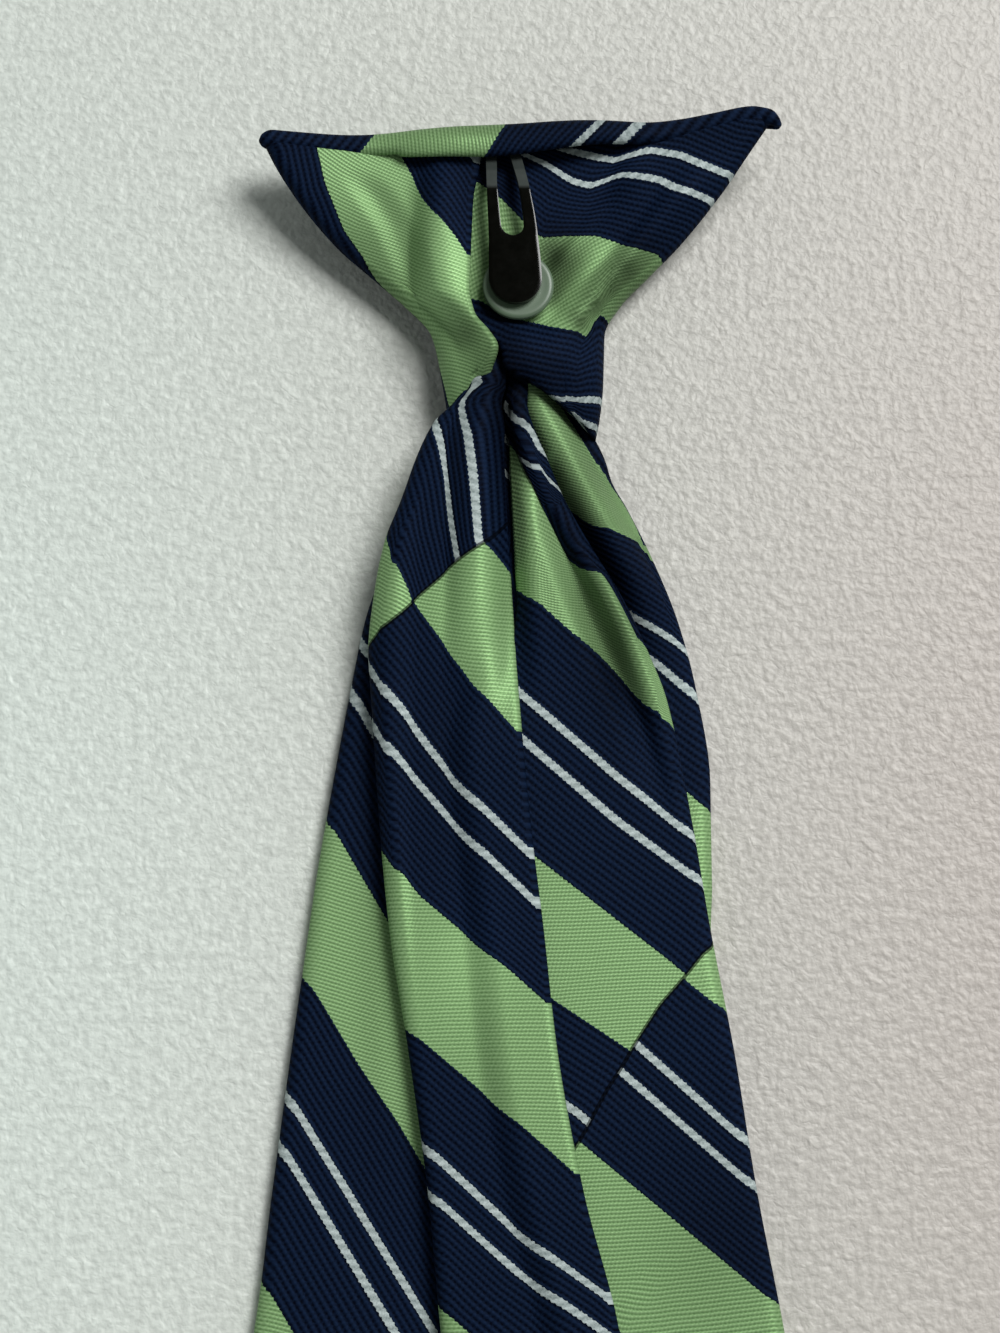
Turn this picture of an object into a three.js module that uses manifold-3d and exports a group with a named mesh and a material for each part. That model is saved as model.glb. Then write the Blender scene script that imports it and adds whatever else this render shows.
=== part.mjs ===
// A clip-on necktie lying face down on a table, seen from its back.
// The knot is at +Y and the point of the blade at -Y, with +Z up.
// A "drop" is a distance down the tie from its neck line, where the folds of the knot meet.
import * as THREE from 'three';
import { mergeVertices } from 'three/addons/utils/BufferGeometryUtils.js';
import Module from 'manifold-3d';

const wasm = await Module();
wasm.setup();

// Driving sizes in millimetres
const tieLength = 508; // top edge of the knot to the point of the blade
const clothWall = 1.2; // striped cloth with its interlining
const clearance = 0.3; // free space between two layers that touch
const knotWidth = 62.7; // corner to corner
const knotSkew = 1; // how far the knot's middle lies to the right of the clip
const knotHeight = 31.2; // top edge to neck line
const knotHollow = 5.2; // inside height of the knot behind the clip
const neckHollow = 9.1; // inside height of the neck, round the gathered blade and tail
const knotRise = 6.4; // how far the corners curve back from the front
const hemDepth = 5.4; // turned-over top edge, as seen from the back
const hemReach = 2.7; // how far its roll stands beyond what it wraps
const neckLength = 5; // tube of the knot below the neck line
const foldRun = 111; // stretch below the neck in which the gathers open out
const bladeWidth = 86; // widest place, at the shoulders of the point
const bladePoint = 43; // shoulders to point
const bladeHollow = 1.3; // soft space inside the blade where it leaves the neck
const bladeLift = 1.6; // how far the neck lifts the blade off the table
const tailWidth = 38;
const tailLength = 320; // neck line to the end of the tail
const tailPoint = 19;
const tailHollow = 1.9;
const tailLap = 5; // left back flap over the right one
const plateDiameter = 8.4;
const plateWall = 1;
const plateStemWidth = 3;
const plateStemLength = 6.6;
const clipLength = 22.5;
const clipWidth = 6;
const clipWall = 0.7;
const clipSlotWidth = 2.7;
const clipLip = 0.7; // upturned tip

const bladeLength = tieLength - knotHeight;
const colours = { cloth: 0x23304f, plastic: 0xc9d2c8, steel: 0x15161a };

// Number helpers
const clamp = (value, low, high) => Math.min(high, Math.max(low, value));
const smooth = (low, high, value) => {
  const t = clamp((value - low) / (high - low), 0, 1);
  return t * t * (3 - 2 * t);
};
const spread = (first, last, count) =>
  Array.from({ length: count }, (_, i) => first + ((last - first) * i) / (count - 1));

// One column of a table at any place along it, on a smooth curve through its rows
function columnAt(table, column, place) {
  const last = table.length - 1;
  const at = clamp(place, table[0].at, table[last].at);
  let i = 0;
  while (i < last - 1 && table[i + 1].at < at) i += 1;
  const slope = (a, b) => (table[b][column] - table[a][column]) / (table[b].at - table[a].at);
  const tangent = (k) => {
    if (k === 0) return slope(0, 1);
    if (k === last) return slope(last - 1, last);
    const before = slope(k - 1, k);
    const after = slope(k, k + 1);
    return before * after <= 0 ? 0 : (2 * before * after) / (before + after);
  };
  const span = table[i + 1].at - table[i].at;
  const t = (at - table[i].at) / span;
  const start = table[i][column];
  const end = table[i + 1][column];
  return (
    start * (1 + 2 * t) * (1 - t) ** 2 +
    end * t * t * (3 - 2 * t) +
    span * (tangent(i) * t * (1 - t) ** 2 - tangent(i + 1) * t * t * (1 - t))
  );
}

function rowAt(table, place) {
  const columns = Object.keys(table[0]).filter((name) => name !== 'at');
  return Object.fromEntries(columns.map((name) => [name, columnAt(table, name, place)]));
}

// How far rolled folds lift the cloth at a point; each runs between two places on the back
function foldLift(folds, x, drop) {
  let lift = 0;
  for (const fold of folds) {
    const runX = fold.toX - fold.fromX;
    const runDrop = fold.toDrop - fold.fromDrop;
    const along = ((x - fold.fromX) * runX + (drop - fold.fromDrop) * runDrop) / (runX ** 2 + runDrop ** 2);
    const t = clamp(along, 0, 1);
    const away = Math.hypot(x - fold.fromX - t * runX, drop - fold.fromDrop - t * runDrop) / fold.reach;
    const fade = smooth(-0.02, 0.25, t) * (1 - smooth(0.6, 1.02, t));
    if (away < 1) lift += fold.height * (1 - away ** 2) ** 2 * fade;
  }
  return lift;
}

// Closed body through rings with equally many points
function loftedBody(rings, flat) {
  const count = rings[0].length;
  const positions = rings.flat().flat();
  const faces = [];
  for (let ring = 0; ring < rings.length - 1; ring += 1) {
    for (let i = 0; i < count; i += 1) {
      const a = ring * count + i;
      const b = ring * count + ((i + 1) % count);
      faces.push(a, b, b + count, a, b + count, a + count);
    }
  }
  const capFaces = (ring) => THREE.ShapeUtils.triangulateShape(ring.map(flat), []);
  const lastStart = (rings.length - 1) * count;
  for (const [a, b, c] of capFaces(rings[0])) faces.push(b, a, c);
  for (const [a, b, c] of capFaces(rings.at(-1))) faces.push(lastStart + a, lastStart + b, lastStart + c);
  const geometry = new THREE.BufferGeometry();
  geometry.setAttribute('position', new THREE.Float32BufferAttribute(positions, 3));
  geometry.setIndex(faces);
  return outward(geometry, rings, flat);
}

// Turns a body's faces outward: side walls and caps are each set by the ring's own direction
function outward(geometry, rings, flat) {
  const outline = rings[0].map(flat);
  const area = THREE.ShapeUtils.area(outline);
  const index = geometry.getIndex();
  const sideFaces = (rings.length - 1) * rings[0].length * 2 * 3;
  if (area < 0) flipCaps(index, sideFaces);
  if (signedVolume(geometry) < 0) flipFaces(index, 0, index.count);
  return geometry;
}

function flipFaces(index, start, end) {
  for (let i = start; i < end; i += 3) {
    const second = index.getX(i + 1);
    index.setX(i + 1, index.getX(i + 2));
    index.setX(i + 2, second);
  }
}

// triangulateShape turns every outline the same way round, so caps of a clockwise ring are turned back
function flipCaps(index, sideFaces) {
  flipFaces(index, sideFaces, index.count);
}

function signedVolume(geometry) {
  const position = geometry.getAttribute('position');
  const index = geometry.getIndex();
  const [a, b, c] = [new THREE.Vector3(), new THREE.Vector3(), new THREE.Vector3()];
  let total = 0;
  for (let i = 0; i < index.count; i += 3) {
    a.fromBufferAttribute(position, index.getX(i));
    b.fromBufferAttribute(position, index.getX(i + 1));
    c.fromBufferAttribute(position, index.getX(i + 2));
    total += a.dot(b.cross(c)) / 6;
  }
  return total;
}

// A wall of even thickness along an open line of [across, up] points
function wallOutline(line, wall) {
  const sides = line.map(([across, up], i) => {
    const before = line[Math.max(i - 1, 0)];
    const after = line[Math.min(i + 1, line.length - 1)];
    const length = Math.hypot(after[0] - before[0], after[1] - before[1]);
    const aside = [-(after[1] - before[1]) / length, (after[0] - before[0]) / length];
    const at = (side) => [across + (side * wall * aside[0]) / 2, up + (side * wall * aside[1]) / 2];
    return { outer: at(-1), inner: at(1) };
  });
  return [...sides.map((side) => side.outer), ...sides.map((side) => side.inner).reverse()];
}

// Middle line of cloth folded to a flat tube: right back flap, front, left back flap.
// The row gives its edges, its flaps' free ends, the height of its front and the space inside.
function foldedLine(row, folds, drop, points) {
  const { flap, front: frontPoints, turn: turnPoints } = points;
  const wall = clothWall;
  const turn = (wall + row.edge) / 2;
  const leftTurn = row.left + wall / 2 + turn;
  const rightTurn = row.right - wall / 2 - turn;
  const middle = (leftTurn + rightTurn) / 2;
  const half = (rightTurn - leftTurn) / 2;
  const share = (x) => clamp((x - middle) / half, -1, 1);
  const front = (x) => row.base + wall / 2 + row.rise * share(x) ** 2;
  const back = (x) => front(x) + wall + row.edge + (row.hollow - row.edge) * (1 - share(x) ** 2);
  const rightEnd = clamp(row.rightEnd, leftTurn + 2 * wall, rightTurn - wall);
  const leftEnd = clamp(row.leftEnd, leftTurn + wall, rightTurn - wall);
  const lapRise = (x) => (wall + row.lapSpace) * row.lap * smooth(rightEnd - 3.4 * wall, rightEnd - wall / 2, x);
  const roundTurn = (x, side) =>
    spread(0, Math.PI, turnPoints)
      .slice(1, -1)
      .map((angle) => [
        x + side * turn * Math.sin(angle),
        (front(x) + back(x)) / 2 + side * turn * Math.cos(angle),
      ]);
  const rightFlap = spread(rightEnd, rightTurn, flap).map((x) => [x, back(x) + foldLift(folds.right, x, drop)]);
  const leftFlap = spread(leftTurn, leftEnd, flap).map((x) => [
    x,
    back(x) + lapRise(x) + foldLift(folds.left, x, drop),
  ]);
  const frontWall = spread(rightTurn, leftTurn, frontPoints).map((x) => [x, front(x)]);
  return [...rightFlap, ...roundTurn(rightTurn, 1), ...frontWall, ...roundTurn(leftTurn, -1), ...leftFlap];
}

// A folded tube lofted through the rows that rowOf gives for each station
function foldedCloth(stations, rowOf, folds, points) {
  const rings = stations.map((station) => {
    const row = rowOf(station);
    const middle = (row.left + row.right) / 2;
    const half = (row.right - row.left) / 2;
    const outline = wallOutline(foldedLine(row, folds, row.drop, points), clothWall);
    return outline.map(([x, z]) => {
      const share = clamp((x - middle) / half, -1, 1);
      return [x, -(row.drop + row.bow * share ** 2 + row.slant * share), z];
    });
  });
  return loftedBody(rings, ([x, , z]) => new THREE.Vector2(x, z));
}

// Front blade, folded edge to edge: "at" runs 0 to 1 down the fold run and 1 to 2 on to the shoulders
const bladeRows = [
  { at: -0.02, left: -0.085, right: 0.12, lift: 1.0, hollow: 0.3 },
  { at: 0.035, left: -0.09, right: 0.135, lift: 1.0, hollow: 0.35 },
  { at: 0.07, left: -0.19, right: 0.185, lift: 0.92, hollow: 0.5 },
  { at: 0.095, left: -0.225, right: 0.25, lift: 0.85, hollow: 0.7 },
  { at: 0.15, left: -0.29, right: 0.305, lift: 0.62, hollow: 1.0 },
  { at: 0.21, left: -0.35, right: 0.39, lift: 0.36, hollow: 1.0 },
  { at: 0.275, left: -0.405, right: 0.455, lift: 0.12, hollow: 0.9 },
  { at: 0.345, left: -0.44, right: 0.5, lift: 0.0, hollow: 0.8 },
  { at: 0.445, left: -0.485, right: 0.535, lift: 0.0, hollow: 0.65 },
  { at: 0.555, left: -0.53, right: 0.535, lift: 0.0, hollow: 0.55 },
  { at: 0.6, left: -0.545, right: 0.53, lift: 0.0, hollow: 0.5 },
  { at: 0.72, left: -0.585, right: 0.575, lift: 0.0, hollow: 0.45 },
  { at: 0.865, left: -0.63, right: 0.62, lift: 0.0, hollow: 0.4 },
  { at: 1.0, left: -0.67, right: 0.665, lift: 0.0, hollow: 0.4 },
  { at: 1.12, left: -0.75, right: 0.75, lift: 0.0, hollow: 0.4 },
  { at: 1.275, left: -0.825, right: 0.825, lift: 0.0, hollow: 0.4 },
  { at: 1.46, left: -0.89, right: 0.89, lift: 0.0, hollow: 0.4 },
  { at: 1.68, left: -0.955, right: 0.955, lift: 0.0, hollow: 0.4 },
  { at: 2.0, left: -1.0, right: 1.0, lift: 0.0, hollow: 0.4 },
];

// Tail, narrower and askew to the right, with its left back flap lapped over the right one
const tailRows = [
  { at: 0, left: -0.08, seam: -0.01, right: 0.07, hollow: 0.12 },
  { at: 0.035, left: -0.085, seam: -0.01, right: 0.07, hollow: 0.12 },
  { at: 0.048, left: -0.16, seam: -0.015, right: 0.07, hollow: 0.3 },
  { at: 0.065, left: -0.24, seam: -0.025, right: 0.07, hollow: 0.75 },
  { at: 0.1, left: -0.29, seam: -0.03, right: 0.115, hollow: 1.0 },
  { at: 0.15, left: -0.34, seam: -0.025, right: 0.175, hollow: 1.0 },
  { at: 0.2, left: -0.395, seam: -0.015, right: 0.255, hollow: 0.9 },
  { at: 0.255, left: -0.425, seam: 0.0, right: 0.355, hollow: 0.8 },
  { at: 0.31, left: -0.44, seam: 0.01, right: 0.41, hollow: 0.7 },
  { at: 0.365, left: -0.43, seam: 0.02, right: 0.47, hollow: 0.6 },
  { at: 0.5, left: -0.4, seam: 0.055, right: 0.545, hollow: 0.45 },
  { at: 0.6, left: -0.37, seam: 0.09, right: 0.59, hollow: 0.4 },
  { at: 0.725, left: -0.31, seam: 0.13, right: 0.655, hollow: 0.35 },
  { at: 0.865, left: -0.25, seam: 0.205, right: 0.715, hollow: 0.3 },
  { at: 1.0, left: -0.21, seam: 0.305, right: 0.785, hollow: 0.3 },
  { at: 1.15, left: -0.15, seam: 0.36, right: 0.85, hollow: 0.25 },
  { at: 1.37, left: -0.11, seam: 0.395, right: 0.9, hollow: 0.25 },
  { at: 1.68, left: -0.1, seam: 0.41, right: 0.93, hollow: 0.25 },
  { at: 2.0, left: -0.12, seam: 0.4, right: 0.93, hollow: 0.25 },
];

// Wound knot, from its top edge at -1 past the neck line at 0 to the end of its tube at 1
const knotRows = [
  { at: -1.0, left: -0.462, right: 0.487, leftEnd: -0.068, rightEnd: -0.115, rise: 1.0, hollow: 0.84, neck: 0, lapSpace: 1.0 },
  { at: -0.86, left: -0.437, right: 0.455, leftEnd: -0.067, rightEnd: -0.118, rise: 0.86, hollow: 0.9, neck: 0, lapSpace: 1.0 },
  { at: -0.7, left: -0.4, right: 0.395, leftEnd: -0.071, rightEnd: -0.122, rise: 0.66, hollow: 0.95, neck: 0, lapSpace: 2.0 },
  { at: -0.55, left: -0.335, right: 0.312, leftEnd: -0.078, rightEnd: -0.13, rise: 0.44, hollow: 1.0, neck: 0, lapSpace: 3.5 },
  { at: -0.42, left: -0.275, right: 0.258, leftEnd: -0.082, rightEnd: -0.132, rise: 0.28, hollow: 1.03, neck: 0, lapSpace: 5.0 },
  { at: -0.3, left: -0.215, right: 0.208, leftEnd: -0.078, rightEnd: -0.122, rise: 0.15, hollow: 1.04, neck: 0, lapSpace: 5.6 },
  { at: -0.18, left: -0.16, right: 0.175, leftEnd: -0.058, rightEnd: -0.1, rise: 0.06, hollow: 1.08, neck: 0.05, lapSpace: 7.0 },
  { at: -0.04, left: -0.139, right: 0.167, leftEnd: -0.028, rightEnd: -0.068, rise: 0.0, hollow: 1.1, neck: 0.9, lapSpace: 2.0 },
  { at: 0.3, left: -0.128, right: 0.165, leftEnd: -0.045, rightEnd: -0.02, rise: 0.0, hollow: 1.1, neck: 1, lapSpace: 1.0 },
  { at: 0.7, left: -0.122, right: 0.163, leftEnd: -0.078, rightEnd: 0.045, rise: 0.0, hollow: 1.1, neck: 1, lapSpace: 1.0 },
  { at: 1.0, left: -0.12, right: 0.162, leftEnd: -0.09, rightEnd: 0.085, rise: 0.0, hollow: 1.1, neck: 1, lapSpace: 1.0 },
];

// Rolled folds of each back flap, with places as shares of its width and of the fold run or knot height
const bladeFolds = {
  left: [],
  right: [{ fromX: 0.075, fromDrop: 0.055, toX: 0.2, toDrop: 0.27, reach: 0.037, height: 1.9 }].map(bladeFold),
};
const tailFolds = {
  left: [
    { fromX: -0.13, fromDrop: 0.06, toX: -0.14, toDrop: 0.26, reach: 0.085, height: 0.95 },
    { fromX: -0.33, fromDrop: 0.1, toX: -0.38, toDrop: 0.5, reach: 0.07, height: 0.4 },
  ].map(tailFold),
  right: [{ fromX: 0.02, fromDrop: 0.05, toX: 0.42, toDrop: 0.4, reach: 0.075, height: 0.75 }].map(tailFold),
};
const knotFolds = {
  left: [{ fromX: -0.05, fromDrop: 0.0, toX: -0.11, toDrop: -0.85, reach: 0.06, height: 0.2 }].map(knotFold),
  right: [
    { fromX: 0.1, fromDrop: 0.1, toX: 0.42, toDrop: -0.62, reach: 0.045, height: 0.2 },
    { fromX: 0.14, fromDrop: -0.4, toX: 0.4, toDrop: -0.8, reach: 0.045, height: 0.16 },
  ].map(knotFold),
};

function placedFold(fold, width, length, height) {
  return {
    fromX: fold.fromX * width,
    fromDrop: fold.fromDrop * length,
    toX: fold.toX * width,
    toDrop: fold.toDrop * length,
    reach: fold.reach * width,
    height: fold.height * height,
  };
}

function bladeFold(fold) {
  return placedFold(fold, bladeWidth, foldRun, bladeHollow);
}

function tailFold(fold) {
  return placedFold(fold, tailWidth, foldRun, tailHollow);
}

function knotFold(fold) {
  return placedFold(fold, knotWidth, knotHeight, knotHollow);
}

const flatRow = { rise: 0, bow: 0, slant: 0 };
const runDrop = (at, length, point) =>
  at <= 1 ? at * foldRun : foldRun + (at - 1) * (length - point - foldRun);
const pointEnd = 2.92;
const pointDrop = (at, length, point) => length - (point * (pointEnd - at)) / (pointEnd - 2);

function bladeRow(at) {
  const row = rowAt(bladeRows, at);
  const hollow = row.hollow * bladeHollow;
  const pointed = at > 2 ? 3 - at : 1;
  const left = (row.left * bladeWidth * pointed) / 2;
  const right = (row.right * bladeWidth * pointed) / 2;
  const middle = (left + right) / 2;
  return {
    ...flatRow,
    drop: at > 2 ? pointDrop(at, bladeLength, bladePoint) : runDrop(at, bladeLength, bladePoint),
    left,
    right,
    leftEnd: middle - clearance,
    rightEnd: middle + clearance,
    base: row.lift * bladeLift,
    hollow,
    edge: hollow * 0.7,
    lap: 0,
    lapSpace: 0,
  };
}

// Height on which the tail lies: the blade's back at the same drop
function bladeTop(drop) {
  const at = drop <= foldRun ? drop / foldRun : 1 + (drop - foldRun) / (bladeLength - bladePoint - foldRun);
  const row = bladeRow(at);
  return row.base + 2 * clothWall + row.hollow;
}

function tailRow(at) {
  const row = rowAt(tailRows, at);
  const hollow = row.hollow * tailHollow;
  const pointed = at > 2 ? 3 - at : 1;
  const seam = row.seam * tailWidth;
  const left = seam + (row.left * tailWidth - seam) * pointed;
  const right = seam + (row.right * tailWidth - seam) * pointed;
  const drop = at > 2 ? pointDrop(at, tailLength, tailPoint) : runDrop(at, tailLength, tailPoint);
  return {
    ...flatRow,
    drop,
    left,
    right,
    leftEnd: seam,
    rightEnd: Math.max(seam - tailLap, left + (seam - left) * 0.4),
    base: bladeTop(drop) + clearance,
    hollow,
    edge: hollow * 0.8,
    lap: 1,
    lapSpace: clearance,
  };
}

const knotTop = knotHeight - hemReach - clothWall / 2 - clearance;
const knotBow = { bow: 1.4, slant: -1.1 };
const neckSlant = 3;

function knotRow(at) {
  const row = rowAt(knotRows, at);
  const upper = smooth(-0.45, -1, at);
  const hollow = row.hollow * knotHollow * (1 - row.neck) + neckHollow * row.neck;
  return {
    drop: at < 0 ? at * knotTop : at * neckLength,
    left: row.left * knotWidth,
    right: row.right * knotWidth,
    leftEnd: row.leftEnd * knotWidth,
    rightEnd: row.rightEnd * knotWidth,
    base: 0,
    rise: row.rise * knotRise,
    hollow,
    edge: hollow * (0.85 - 0.77 * smooth(0, -0.6, at)),
    bow: knotBow.bow * upper,
    slant: knotBow.slant * upper + neckSlant * smooth(-0.1, 0.9, at),
    lap: 1,
    lapSpace: row.lapSpace * clearance,
  };
}

// Place on the knot's back that the turned-over edge reaches down to
const hemmedPlace = -0.88;
const hemInset = clothWall;

// Top edge of the knot turned over to the back, a roll from corner to corner
function turnedHem() {
  const top = knotRow(-1);
  const below = knotRow(hemmedPlace);
  const flapMiddle = (top.left + top.right) / 2;
  const edgeHalf = (top.right - top.left) / 2;
  const flapHalf = edgeHalf - hemInset;
  const rings = spread(-1, 1, 21).map((place) => {
    const x = knotSkew + (place * knotWidth) / 2;
    const share = clamp((x - flapMiddle) / flapHalf, -1, 1);
    const edgeShare = clamp((x - flapMiddle) / edgeHalf, -1, 1);
    const inner = 1 - share ** 2;
    const front = clothWall / 2 + top.rise * share ** 2;
    const flap = front + clothWall + below.edge + (below.hollow - below.edge) * inner;
    const over = flap + 2 * clothWall + clearance * (4 + inner);
    const start = top.drop + top.bow * edgeShare ** 2 + top.slant * edgeShare - clearance;
    const reach = hemReach * (0.4 + 0.6 * inner);
    const depth = (hemDepth - reach - clothWall) * (1 - smooth(0.35, 1, Math.abs(share)));
    const roll = spread(0, Math.PI, 9).map((angle) => [
      start - reach * Math.sin(angle),
      (front + over) / 2 - ((over - front) / 2) * Math.cos(angle),
    ]);
    const line = [...roll, [start + 0.2 + depth / 2, over], [start + 0.4 + depth, over]];
    return wallOutline(line, clothWall).map(([drop, z]) => [x, -drop, z]);
  });
  return loftedBody(rings, ([, y, z]) => new THREE.Vector2(y, z));
}

// Solids that are joined or cut
function asSolid(geometry) {
  const bare = geometry.clone();
  bare.deleteAttribute('normal');
  bare.deleteAttribute('uv');
  const merged = mergeVertices(bare, 1e-4);
  return new wasm.Manifold(
    new wasm.Mesh({
      numProp: 3,
      vertProperties: new Float32Array(merged.getAttribute('position').array),
      triVerts: new Uint32Array(merged.getIndex().array),
    }),
  );
}

function asGeometry(solid) {
  const mesh = solid.getMesh();
  const geometry = new THREE.BufferGeometry();
  geometry.setAttribute('position', new THREE.BufferAttribute(mesh.vertProperties, 3));
  geometry.setIndex(new THREE.BufferAttribute(mesh.triVerts, 1));
  return geometry;
}

// A flat bar through rows of place, width and height
function bar(rows, thickness) {
  const rings = rows.map((row) => [
    [row.middle - row.half, -row.drop, row.height - thickness / 2],
    [row.middle + row.half, -row.drop, row.height - thickness / 2],
    [row.middle + row.half, -row.drop, row.height + thickness / 2],
    [row.middle - row.half, -row.drop, row.height + thickness / 2],
  ]);
  return loftedBody(rings, ([x, , z]) => new THREE.Vector2(x, z));
}

// Plastic plate that the clip presses against, with a stem that runs under the left flap
const plateCentre = { x: 0.6, drop: 9 };
const plateSeat = clothWall * 2 + knotHollow * 1.12 + clearance;

function collarPlate() {
  const disc = new THREE.CylinderGeometry(plateDiameter / 2, plateDiameter / 2, plateWall, 32);
  disc.rotateX(Math.PI / 2);
  const stem = new THREE.BoxGeometry(plateStemLength, plateStemWidth, plateWall);
  stem.translate(-plateStemLength / 2, 0, 0);
  stem.rotateZ(THREE.MathUtils.degToRad(38));
  const geometry = asGeometry(asSolid(disc).add(asSolid(stem)));
  return geometry.translate(plateCentre.x, plateCentre.drop, plateSeat + plateWall / 2);
}

// Spring clip: two legs from under the hem, bent back and joined in a round-ended tongue.
// The height column is 0 at the legs' root and 1 at the tongue, and the slot is 0 where it is closed.
const clipRows = [
  { at: 0.0, middle: -0.233, half: 0.325, slot: 0.0, height: 0.0 },
  { at: 0.04, middle: -0.225, half: 0.33, slot: 0.4, height: 0.0 },
  { at: 0.125, middle: -0.192, half: 0.342, slot: 0.53, height: 0.0 },
  { at: 0.25, middle: -0.135, half: 0.382, slot: 0.75, height: 0.42 },
  { at: 0.37, middle: -0.083, half: 0.42, slot: 0.95, height: 0.98 },
  { at: 0.41, middle: -0.07, half: 0.435, slot: 1.0, height: 1.0 },
  { at: 0.53, middle: -0.017, half: 0.458, slot: 1.0, height: 1.0 },
  { at: 0.595, middle: 0.008, half: 0.467, slot: 0.85, height: 1.0 },
  { at: 0.625, middle: 0.015, half: 0.47, slot: 0.52, height: 1.0 },
  { at: 0.64, middle: 0.018, half: 0.472, slot: 0.0, height: 1.0 },
  { at: 0.8, middle: 0.05, half: 0.495, slot: 0.0, height: 1.0 },
  { at: 0.87, middle: 0.058, half: 0.5, slot: 0.0, height: 1.0 },
  { at: 0.93, middle: 0.063, half: 0.43, slot: 0.0, height: 1.0 },
  { at: 0.975, middle: 0.067, half: 0.28, slot: 0.0, height: 1.1 },
  { at: 1.0, middle: 0.067, half: 0.1, slot: 0.0, height: 1.25 },
];
const clipTop = knotTop + 1.35;

function springClip() {
  const rootHeight = 2 * clothWall + knotRow(hemmedPlace).hollow + clearance + clipWall / 2;
  const tongueHeight = plateSeat + plateWall + clearance + clipWall / 2;
  const placed = clipRows.map((row) => ({
    drop: row.at * clipLength - clipTop,
    middle: row.middle * clipWidth,
    half: row.half * clipWidth,
    slot: (row.slot * clipSlotWidth) / 2,
    height:
      row.height <= 1
        ? rootHeight + (tongueHeight - rootHeight) * row.height
        : tongueHeight + (row.height - 1) * 4 * clipLip,
  }));
  const open = placed.filter((row, i) => row.slot > 0 || placed[i + 1]?.slot > 0 || placed[i - 1]?.slot > 0);
  const slotRows = open.map((row) => ({ ...row, half: Math.max(row.slot, clipWall / 20) }));
  const body = asSolid(bar(placed, clipWall));
  return asGeometry(body.subtract(asSolid(bar(slotRows, clipWall * 3))));
}

// Assembly
const group = new THREE.Group();

function addPart(name, geometry, colour, roughness, metalness) {
  const material = new THREE.MeshStandardMaterial({ color: colour, roughness, metalness });
  const mesh = new THREE.Mesh(geometry, material);
  mesh.name = name;
  group.add(mesh);
}

const bladeStations = [...spread(-0.02, 0.3, 12), ...spread(0.35, 1, 10), ...spread(1.2, 2, 5), 2.5, pointEnd];
const tailStations = [...spread(0, 0.41, 17), ...spread(0.47, 1, 8), ...spread(1.2, 2, 4), 2.5, pointEnd];
const knotStations = [...spread(-1, -0.04, 15), ...spread(0.12, 1, 6)];

// How many points the middle line has in each back flap, across the front and round each edge
const flatPoints = { flap: 9, front: 4, turn: 5 };
const knotPoints = { flap: 10, front: 11, turn: 7 };

addPart('front_blade', foldedCloth(bladeStations, bladeRow, bladeFolds, flatPoints), colours.cloth, 0.7, 0);
addPart('tail', foldedCloth(tailStations, tailRow, tailFolds, flatPoints), colours.cloth, 0.7, 0);
addPart('knot_wrap', foldedCloth(knotStations, knotRow, knotFolds, knotPoints), colours.cloth, 0.7, 0);
addPart('knot_hem', turnedHem(), colours.cloth, 0.7, 0);
addPart('collar_plate', collarPlate(), colours.plastic, 0.4, 0);
addPart('spring_clip', springClip(), colours.steel, 0.25, 0.6);

// The origin is the middle of the underside of the whole tie
const box = new THREE.Box3().setFromObject(group);
group.position.set(-(box.min.x + box.max.x) / 2, -(box.min.y + box.max.y) / 2, -box.min.z);

export default group;
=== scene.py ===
# %% [markdown]
# # A clip-on necktie lying face down
# A clip-on tie has a knot that is wound once at the factory and never undone. It hooks into the
# shirt collar with a small sprung clip. Here the tie lies on its front, so the camera sees the folded
# back: the narrow tail lies on the wide blade, and both run up into the knot.
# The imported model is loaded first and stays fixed. Every new piece is built round it in metres.

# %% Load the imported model
import math
import bmesh
import bpy
import numpy as np
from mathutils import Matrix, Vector


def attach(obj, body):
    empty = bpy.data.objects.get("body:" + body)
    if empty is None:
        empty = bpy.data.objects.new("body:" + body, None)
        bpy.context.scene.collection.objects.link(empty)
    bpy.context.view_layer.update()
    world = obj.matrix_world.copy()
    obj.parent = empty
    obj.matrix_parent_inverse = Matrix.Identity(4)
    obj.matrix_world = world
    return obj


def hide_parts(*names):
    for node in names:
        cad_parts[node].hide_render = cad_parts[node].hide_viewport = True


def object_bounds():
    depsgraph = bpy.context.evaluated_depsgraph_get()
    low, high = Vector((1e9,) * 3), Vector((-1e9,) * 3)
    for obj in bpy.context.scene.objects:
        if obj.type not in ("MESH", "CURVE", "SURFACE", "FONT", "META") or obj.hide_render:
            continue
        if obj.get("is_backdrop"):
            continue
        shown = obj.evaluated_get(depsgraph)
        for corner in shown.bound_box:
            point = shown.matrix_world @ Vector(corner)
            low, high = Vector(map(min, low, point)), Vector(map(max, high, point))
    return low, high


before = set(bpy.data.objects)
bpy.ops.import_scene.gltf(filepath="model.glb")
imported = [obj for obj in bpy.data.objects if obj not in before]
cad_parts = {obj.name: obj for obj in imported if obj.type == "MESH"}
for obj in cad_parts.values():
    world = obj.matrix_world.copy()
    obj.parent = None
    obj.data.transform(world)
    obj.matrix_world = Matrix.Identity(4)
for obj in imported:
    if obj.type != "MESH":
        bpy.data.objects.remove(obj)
cad_low, cad_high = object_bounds()
print("packed nodes:", sorted(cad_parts))

# %% [markdown]
# ## The camera
# The photograph was taken from nearly overhead, 12 degrees short of straight down, from about
# 30 cm. A longer lens from further away would flatten the knot, so the real distance matters: it sets
# how much of the underside of the raised corners can be seen.
# The same numbers are used further down to lay the stripes where the photograph shows them.

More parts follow.
